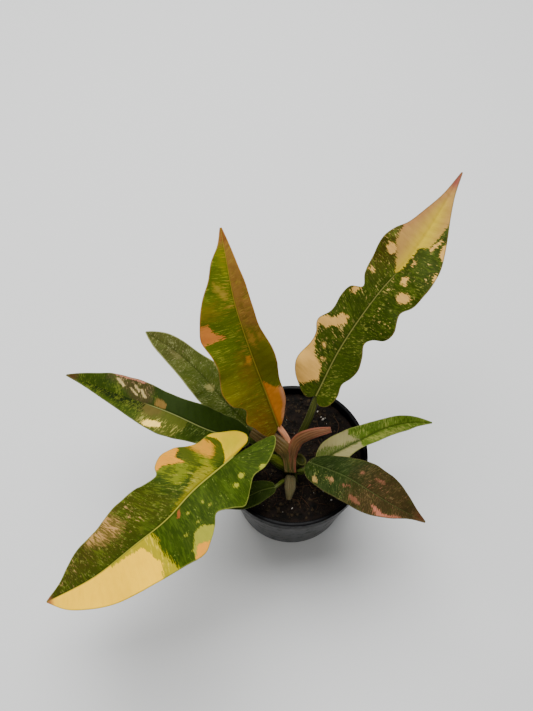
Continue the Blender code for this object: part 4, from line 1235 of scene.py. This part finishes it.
paint = dict(
    ground="#2e3e09", shade="#233308", streak="#5a651c", rib="#8f8c34", rim="#767a30", lines=0.03,
    mottle=0.1, streaks=0.25,
    marks=[
        patch("#3a3c0c", [[(36, 2), (165, 2), (165, 40), (50, 40)]], 4, 8, side=1, strength=0.8),
        patch("#413a12", [[(88, 8), (165, 0), (165, 40), (70, 40)]], 4, 10, side=1, strength=0.6),
        flecks("#4c6014", 0.30, 1.2, 7.0, strength=0.35),
        flecks("#5c661a", 0.22, 2.0, 9.0, [box(30, 165, 2, 40)], 6, strength=0.7, side=1),
        flecks("#86863a", 0.13, 0.9, 3.0, [box(30, 165, 2, 40)], 4, strength=0.75, side=1),
        flecks("#9a7c48", 0.08, 1.3, 4.0, [[(60, 6), (165, 0), (165, 40), (60, 40)]], 6, side=1),
        flecks("#8a9440", 0.035, 0.8, 2.2, strength=0.7),
        patch("#7c6430", [[(110, 19), (100, 32), (84, 32), (79, 22), (77, 15), (84, 12), (94, 13)]], 3,
            3, strength=0.6),
        flecks("#b48a50", 0.42, 1.1, 6.0, [[(108, 20), (100, 30), (84, 30), (77, 15), (84, 12),
            (94, 14)]], 3),
        patch("#9a8c10", [lime_zone], 1.6, 0.7, side=-1),
        flecks("#c2a828", 0.2, 1.0, 8.0, [lime_zone], 1.5, side=-1),
        patch("#434a0d", [[(-12, 4), (22, 4), (24, 14), (12, 32), (-12, 32)]], 2.5, 1.5, side=1,
            strength=0.8),
        patch("#6a7016", [[(33, 26), (29, 26), (24, 22), (18, 17), (16, 12), (22, 10), (30, 9),
            (33, 13)], [(9, 18), (3, 14), (4, 4), (5, -6), (20, -6), (20, 6), (12, 10)]], 2.4, 1.4,
            side=1, strength=0.85),
        patch("#7e761a", [[(6, 9), (8, -4), (47, -4), (45, 1.2), (36, 3), (26, 5), (16, 8)]], 1.6, 1.0,
            side=1, strength=0.85),
        flecks("#8a8430", 0.12, 1.5, 8.0, [[(33, 27), (29, 27), (16, 13), (2, 16), (4, 2), (30, 2),
            (36, 12)]], 2, side=1),
        flecks("#22340a", 0.30, 1.8, 7.0, [[(38, 27), (29, 27), (16, 13), (2, 16), (4, 2), (36, 2),
            (42, 12)]], 2, side=1, strength=0.8),
        patch("#94922c", [[(46, -20), (41, -20), (36, -26), (38, -38), (48, -42), (55, -40), (52, -28)],
            dot(5, -17, 1.8), dot(-3, -14, 2.0), dot(27, -15, 0.9), dot(40, -17, 0.8),
            dot(50, -17, 1.0), dot(40, -8, 0.8), dot(29, -10, 0.8), dot(-17, -20, 2.0)], 0.8, 0.5,
            strength=0.8),
        patch("#fcc304", [yellow_end], 0.9, 0.25, side=-1, tones=[
            ("#f0aa20", [[(170, 8), (152, 3), (152, -9), (128, -24), (100, -31), (84, -34), (84, -44),
                (170, -44)]], 5),
            ("#b8703c", [[(170, 8), (158, 6), (150, -14), (120, -29), (84, -36), (84, -48),
                (170, -44)]], 2)]),
        patch("#c8a208", [yellow_lobe], 0.5, 0.3, side=1, tones=[
            ("#b29c00", [[(-10, 2), (-4, 6), (-14, 16), (-24, 10), (-22, 2)]], 5)]),
        patch("#c08420", [[(8, 21), (10, 28), (0, 28), (-3, 22), (-5, 17), (-5, 13), (-1, 10), (3, 9),
            (6, 15)]], 1.6, 1.4, strength=0.95),
        patch("#cc861c", [[(14, 34), (15, 27), (20, 25), (18, 18), (24, 22), (29, 26), (33, 26),
            (38, 30), (34, 40), (20, 40)], [(49, -27), (44, -31), (42, -38), (46, -44), (57, -44),
            (53, -33)]], 0.8, 0.4),
        flecks("#86802a", 0.45, 1.2, 5.0, [[(14, 34), (15, 27), (20, 25), (18, 18), (24, 22), (29, 26),
            (26, 31)], [(8, 21), (10, 28), (6, 28), (0, 20), (-3, 17), (-5, 13), (-1, 10), (3, 9),
            (6, 15)]], 2.5, strength=0.55),
        patch("#84481e", [[(41, -1), (43, -4), (46, -6), (47, -4.5), (44, -2)]], 0.3, 0.2),
        patch("#8a4a38", [[(170, 8), (153, 6), (153, -6), (170, -8)]], 1, 2, strength=0.8)])
finish_leaf(blade, "leaf_front_left", paint, girth=2.9,
            petiole=[stem_side(200, 97, -3), (-9.8, -12, 101.3), (-17.5, -11, 106.9), (-36, -18.5, 124)],
            stalk_colours=("#2e360a", "#454c10", "#5c6020"))

# %% [markdown]
# ### Right leaf
#
# Cream at its base, with a ragged green band along the midrib, and fresh green beyond.

# %% Leaf: right
blade = Blade(
    "leaf_right_blade", rows=120, half_columns=18, fold=(12, 12), wave=0.9, wavelength=28,
    midrib=[(17, -13, 101), (29, -7, 106), (46, 1, 109), (64, 10, 109), (82, 16, 105),
            (100, 19, 98)],
    left=[(-1, 1), (2, 6), (9, 10), (17, 11), (28, 11), (40, 9), (54, 7), (68, 6), (80, 4),
          (93, 0.5)],
    right=[(-1, 1), (3, 4), (9, 7), (17, 9), (25, 7), (34, 6), (46, 7), (58, 7), (70, 6),
           (80, 3.5), (93, 0.5)])
paint = dict(
    ground="#4c5e18", shade="#3c5012", streak="#67752f", rib="#26360a", rim="#6c7436", rib_strength=0.7,
    streaks=0.75,
    marks=[
        patch("#737733", [[(37, 1), (46, 2.5), (57, 3), (68, 3.5), (64, 6.5), (50, 6), (40, 4)]], 2.0,
            1.0, strength=0.75),
        flecks("#84883c", 0.20, 0.7, 4.0, strength=0.7),
        flecks("#2a3a08", 0.26, 0.9, 3.5, strength=0.75),
        patch("#7e774e", [[(-6, -16), (31, -16), (30, -11), (28, -7), (31, -3), (34, -1), (33, 4),
            (35, 14), (-6, 14)]], 0.7, 0.3),
        patch("#42521a", [[(-4, -5.5), (6, -7), (11, -6.5), (17, -3.5), (24, -2.5), (33, -2), (33, 0.8),
            (20, 0.8), (0, 0.8)]], 1.7, 0.5, strength=0.9),
        flecks("#77724a", 0.34, 0.9, 1.5, [[(2, -8), (33, -5), (33, -0.5), (2, -0.5)]], 1,
            strength=0.75)])
finish_leaf(blade, "leaf_right", paint, girth=1.8,
            petiole=[stem_side(345, 85, -3), stem_side(345, 87, 3), (10, -14, 94), (14, -13.5, 98)],
            stalk_colours=("#2f3a10", "#465020", "#6a7040"))

# %% [markdown]
# ### Front right leaf
#
# Dark green near the stem and bronze beyond, with pink flames along its lower margin.

# %% Leaf: front right
blade = Blade(
    "leaf_front_right_blade", rows=130, half_columns=24, fold=(12, 12), wave=1.0, wavelength=34,
    midrib=[(11, -15, 108), (25, -23, 114), (38, -30, 116), (65, -46, 111), (89, -55, 100)],
    left=[(-1, 1), (1, 4), (8, 8), (18, 11), (28, 14), (38, 17), (50, 17), (62, 16),
          (73, 11), (83, 5), (92, 0.5)],
    right=[(-1, 1), (-2, 4), (0, 8), (6, 13), (16, 16), (28, 18), (40, 18), (52, 16),
           (64, 11), (78, 4), (92, 0.5)])
paint = dict(
    ground="#1c2a08", shade="#152107", streak="#46502a", rib="#465028", rim="#453f20", rib_strength=0.5,
    crease_shade=0.2, lines=0.03, streaks=0.6,
    marks=[
        flecks("#787a40", 0.07, 0.9, 1.8, [box(-4, 34, 0, 24)], 3, strength=0.8),
        flecks("#5c6036", 0.03, 1.0, 2.5),
        patch("#332814", [[(40, -24), (38, -9), (38, -1), (36, 7), (38, 24), (100, 24), (100, -24)]], 2,
            10, strength=0.92),
        flecks("#1f260c", 0.20, 1.2, 4.0, [box(33, 100, -24, 24)], 4, strength=0.7),
        flecks("#5e4c2c", 0.30, 0.7, 2.6, [box(30, 100, -24, 24)], 4, strength=0.6),
        flecks("#6e5a38", 0.06, 0.7, 2.5, [box(33, 100, -24, 24)], 4, strength=0.8),
        flecks("#3c4418", 0.18, 1.0, 5.0, [box(33, 100, -24, 24)], 4, strength=0.6),
        flecks("#8a5c44", 0.07, 0.9, 4.0, [[(40, -16), (40, 20), (90, 20), (90, -10)]], 4, strength=0.7),
        patch("#454c1c", [[(26, -10), (38, -22), (42, -24), (30, -20)]], 3, 2, strength=0.5),
        patch("#826c3c", [[(8, 10), (9.5, 8.4), (12.4, 10.8), (13.6, 13.6), (11, 14)]], 0.9, 0.3),
        patch("#80603c", [[(17.5, 6.6), (20, 4.4), (22, 6.2), (22, 9.4), (20, 7.6)]], 1.2, 0.3),
        patch("#7a4c38", [[(36, 11), (40, 10.5), (46, 13), (42, 14.5), (37, 13.5)], [(47, -8),
            (54, -9.6), (53, -11), (46, -9.5)], dot(37, -8, 0.8), dot(30, 7, 0.9), dot(33, 5, 0.7),
            dot(46, -3, 0.7)], 1.4, 0.4, strength=0.7),
        patch("#a4624c", [[(53, 9), (57, 8.5), (63, 10), (63, 13), (57, 13.5)], [(62, 9.5), (72, 6),
            (76, 12), (60, 20)]], 1.6, 0.3, strength=0.85),
        patch("#5a3222", [box(84, 100, -6, 6)], 1, 4, strength=0.7)])
finish_leaf(blade, "leaf_front_right", paint, girth=1.9,
            petiole=[stem_side(335, 92, -3), stem_side(335, 94, 3), (7.5, -17.3, 99), (10, -16.5, 104)],
            stalk_colours=("#28320c", "#3c4618", "#5a6434"))

# %% Leaf: small and low
blade = Blade(
    "leaf_small_low_blade", rows=80, half_columns=14, fold=(8, 8), wave=0.5,
    midrib=[(-14, -30, 99), (-23, -33, 101), (-34, -38, 100), (-49, -44, 95)],
    left=[(-0.8, 0.8), (1, 4), (8, 7), (16, 8.5), (26, 7), (34, 3), (39, 0.5)],
    right=[(-0.8, 0.8), (0, 3.5), (6, 6), (14, 8), (23, 8), (32, 5), (39, 0.5)])
paint = dict(
    ground="#25320a", shade="#1a2707", streak="#3c461a", rib="#3f4a1e", rim="#4c5424",
    marks=[
        flecks("#4c5428", 0.08, 0.7, 3.0, strength=0.7)])
finish_leaf(blade, "leaf_small_low", paint, girth=1.5,
            petiole=[stem_side(250, 86, -3), stem_side(250, 88, 3), (-8.5, -24.5, 94), (-11, -27.5, 97)],
            stalk_colours=("#29310c", "#3e4614", "#565c2c"))

# %% [markdown]
# ## The sheaths
#
# Each new leaf grows up inside a cataphyll, a thin sheath that splits open and dries. It is a
# trough that narrows to its ends. The mesh is a grid again: rows along the spine, columns round
# an arc that opens towards one side.

# %% Sheath
SHEATH_THICK = 0.7     # mm


def sheath(name, spine, open_to, widths, wrap, rows=110, columns=41):
    """A tapering trough along SPINE that opens towards OPEN_TO, given for its two ends.

    WIDTHS are spaced evenly along it, in mm, and WRAP is how far it curls round, in degrees.
    """
    centre, length = spline(spine, rows)
    at = np.linspace(0, 1, rows)
    ahead = unit(np.gradient(centre, axis=0))
    towards = np.linspace(open_to[0], open_to[1], rows)
    side = unit(np.cross(ahead, towards))
    towards = np.cross(side, ahead)
    width = np.interp(at, np.linspace(0, 1, len(widths)), widths)
    arc = np.radians(np.interp(at, (0, 1), wrap))
    obj, row, column = grid(name, rows, columns)
    across = column / (columns - 1) - 0.5
    bend = (arc[row] * across)[:, None]
    radius = (width[row] / (2 * np.sin(arc[row] / 2)))[:, None]
    # Papery tissue is never even: it ripples lengthwise and its edges curl a little.
    ripple = 0.16 * np.sin(across * 34 + 2.0 * at[row]) + 0.10 * np.sin(across * 75 + 5 * at[row])
    curl = 0.5 * np.clip(np.abs(across) * 2 - 0.8, 0, 1) * np.sin(9 * at[row])
    place = centre[row] + radius * (side[row] * np.sin(bend)
                                    - towards[row] * (np.cos(bend) - np.cos(arc[row] / 2)[:, None]))
    outward = side[row] * np.sin(bend) - towards[row] * np.cos(bend)
    move_points(obj, place + outward * (ripple + curl)[:, None])
    attach(obj, "vein", np.stack([across * width[row], length * at[row], 0 * across], 1))
    attach(obj, "edge", (0.5 - np.abs(across)) * width[row])
    attach(obj, "along", at[row])
    apply_modifier(obj, "SOLIDIFY", thickness=SHEATH_THICK * MM, offset=0.0)
    return obj


print("a sheath is", SHEATH_THICK, "mm thick")


# %% Sheath skin
def papery(name, foot, middle, end, stripe, rim, roughness):
    """Dry or drying sheath: fine lengthwise nerves, greener at the foot, with a coloured edge."""
    made, tree, shader = start_material(
        name, Roughness=roughness, Specular_IOR_Level=0.15, Subsurface_Weight=0.1,
        Subsurface_Scale=0.6 * MM)
    vein = node(tree, "Attribute", out="Vector", attribute_name="vein")
    along, edge = (node(tree, "Attribute", out="Fac", attribute_name=kept)
                   for kept in ("along", "edge"))
    low = node(tree, "MapRange", {0: along, 1: 0.05, 2: 0.45})
    high = node(tree, "MapRange", {0: along, 1: 0.6, 2: 1.0})
    # Nerves about 0.8 mm apart, stretched until they run the length of the sheath.
    nerve = node(tree, "Mapping", {"Vector": vein, "Scale": (1.3, 0.05, 1.0)})
    nerve = node(tree, "TexNoise", {"Vector": nerve, "Scale": 1.0, "Detail": 3.0,
                                    "Roughness": 0.6}, "Fac")
    cover = node(tree, "MapRange", {0: nerve, 1: 0.45, 2: 0.62, 3: 0.0, 4: 0.5})
    border = node(tree, "MapRange", {0: edge, 1: 0.3, 2: 1.6, 3: 0.8, 4: 0.0})
    tint = rgb(foot)
    for share, colour in ((low, middle), (high, end), (cover, stripe), (border, rim)):
        tint = node(tree, "Mix", {0: share, 6: tint, 7: rgb(colour)}, 2, data_type="RGBA")
    tree.links.new(tint, shader.inputs["Base Color"])
    bump = node(tree, "Bump", {"Height": nerve, "Strength": 0.6, "Distance": 0.3 * MM})
    tree.links.new(bump, shader.inputs["Normal"])
    return made


print("a sheath gets a skin of five colours: foot, middle, end, stripe and rim")

# %% Open sheath
# The newest leaf pushed it open. One half lies to the left, the other sticks up like a horn.
BACK_OPEN = [(0, 1, -0.3), (0, 0.5, -0.9)]
arm = sheath("arm", [(-3.5, -18.7, 99.6), (-4.7, -10.5, 106), (-7, -6.5, 110.5),
                     (-12.6, -1.9, 111.5), (-22.3, 3.8, 112), (-29, 7.9, 112)],
             BACK_OPEN, widths=(5.5, 6.2, 11.3, 12, 13, 10), wrap=(80, 40))
horn = sheath("horn", [(-1.2, -19, 99.2), (-1, -10.7, 107), (-0.3, -6.3, 112.5),
                       (3.2, -1.8, 117.5), (12.2, 0.3, 123.5), (24.7, 1, 129)],
              BACK_OPEN, widths=(4.5, 4.5, 8.5, 8.8, 6.6, 3.6), wrap=(80, 60))
for half, finish in (
        (arm, papery("fading sheath", "#2c300a", "#4a3914", "#53421f", "#65502c", "#5c4526", 0.5)),
        (horn, papery("fresh sheath", "#2c280a", "#5a3a1e", "#65402a", "#745236", "#74402f", 0.45))):
    half.data.materials.append(finish)
open_sheath = join("sheath_open", [arm, horn])
smooth(open_sheath)
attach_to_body(open_sheath, "root")
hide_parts("cataphyll_open")
print("open sheath faces:", len(open_sheath.data.polygons))

# %% Dry sheath
dry = sheath("sheath_dry", [(-2, -19.9, 94.5), (-2.5, -25, 100), (-3, -32, 103.5), (-4, -40, 102)],
             [(0, 0.5, -1), (0, 0.2, -1)], widths=(5.5, 8, 7.5, 2.5), wrap=(70, 60), rows=80,
             columns=31)
dry.data.materials.append(
    papery("dry sheath", "#23210f", "#403921", "#3e371c", "#544c32", "#2c2716", 0.75))
smooth(dry)
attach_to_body(dry, "root")
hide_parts("cataphyll_dry")
print("dry sheath faces:", len(dry.data.polygons))

# %% [markdown]
# ## Floor and light
#
# A plain pale floor and large soft lights, as in a light tent. The main light hangs above and
# behind, so the pot's shadow falls softly towards the viewer.

# %% Floor
bpy.ops.object.select_all(action="DESELECT")
bpy.ops.mesh.primitive_plane_add(size=6)       # metres
floor = bpy.context.object
floor.name = "floor"
matt, tree, shader = start_material("matt white floor", Roughness=0.7)
place = node(tree, "TexCoord", out="Object")
mottle = node(tree, "TexNoise", {"Vector": place, "Scale": 3.0, "Detail": 2.0}, "Fac")
tint = node(tree, "Mix", {0: mottle, 6: rgb("#cccdcc"), 7: rgb("#d0d0cf")}, 2, data_type="RGBA")
tree.links.new(tint, shader.inputs["Base Color"])
floor.data.materials.append(matt)
print("floor:", [round(side, 2) for side in floor.dimensions], "m")

# %% Lights
AIM = (0, 0, 0.05)     # m, about the middle of the pot


def soft_light(name, place, size, power):
    """A square area light at PLACE that faces AIM, SIZE metres wide, with POWER in watts."""
    light = bpy.data.lights.new(name, "AREA")
    light.size, light.energy = size, power
    obj = bpy.data.objects.new(name, light)
    obj.location = place
    obj.rotation_euler = (Vector(AIM) - Vector(place)).to_track_quat("-Z", "Y").to_euler()
    bpy.context.scene.collection.objects.link(obj)


soft_light("top_light", (-0.12, 0.5, 1.4), 1.15, 47)
soft_light("front_light", (-0.7, -1.2, 1.3), 1.5, 8.5)
world = bpy.data.worlds.new("tent")
world.use_nodes = True
world.node_tree.nodes["Background"].inputs["Color"].default_value = rgb("#f4f6f8")
world.node_tree.nodes["Background"].inputs["Strength"].default_value = 0.32
bpy.context.scene.world = world
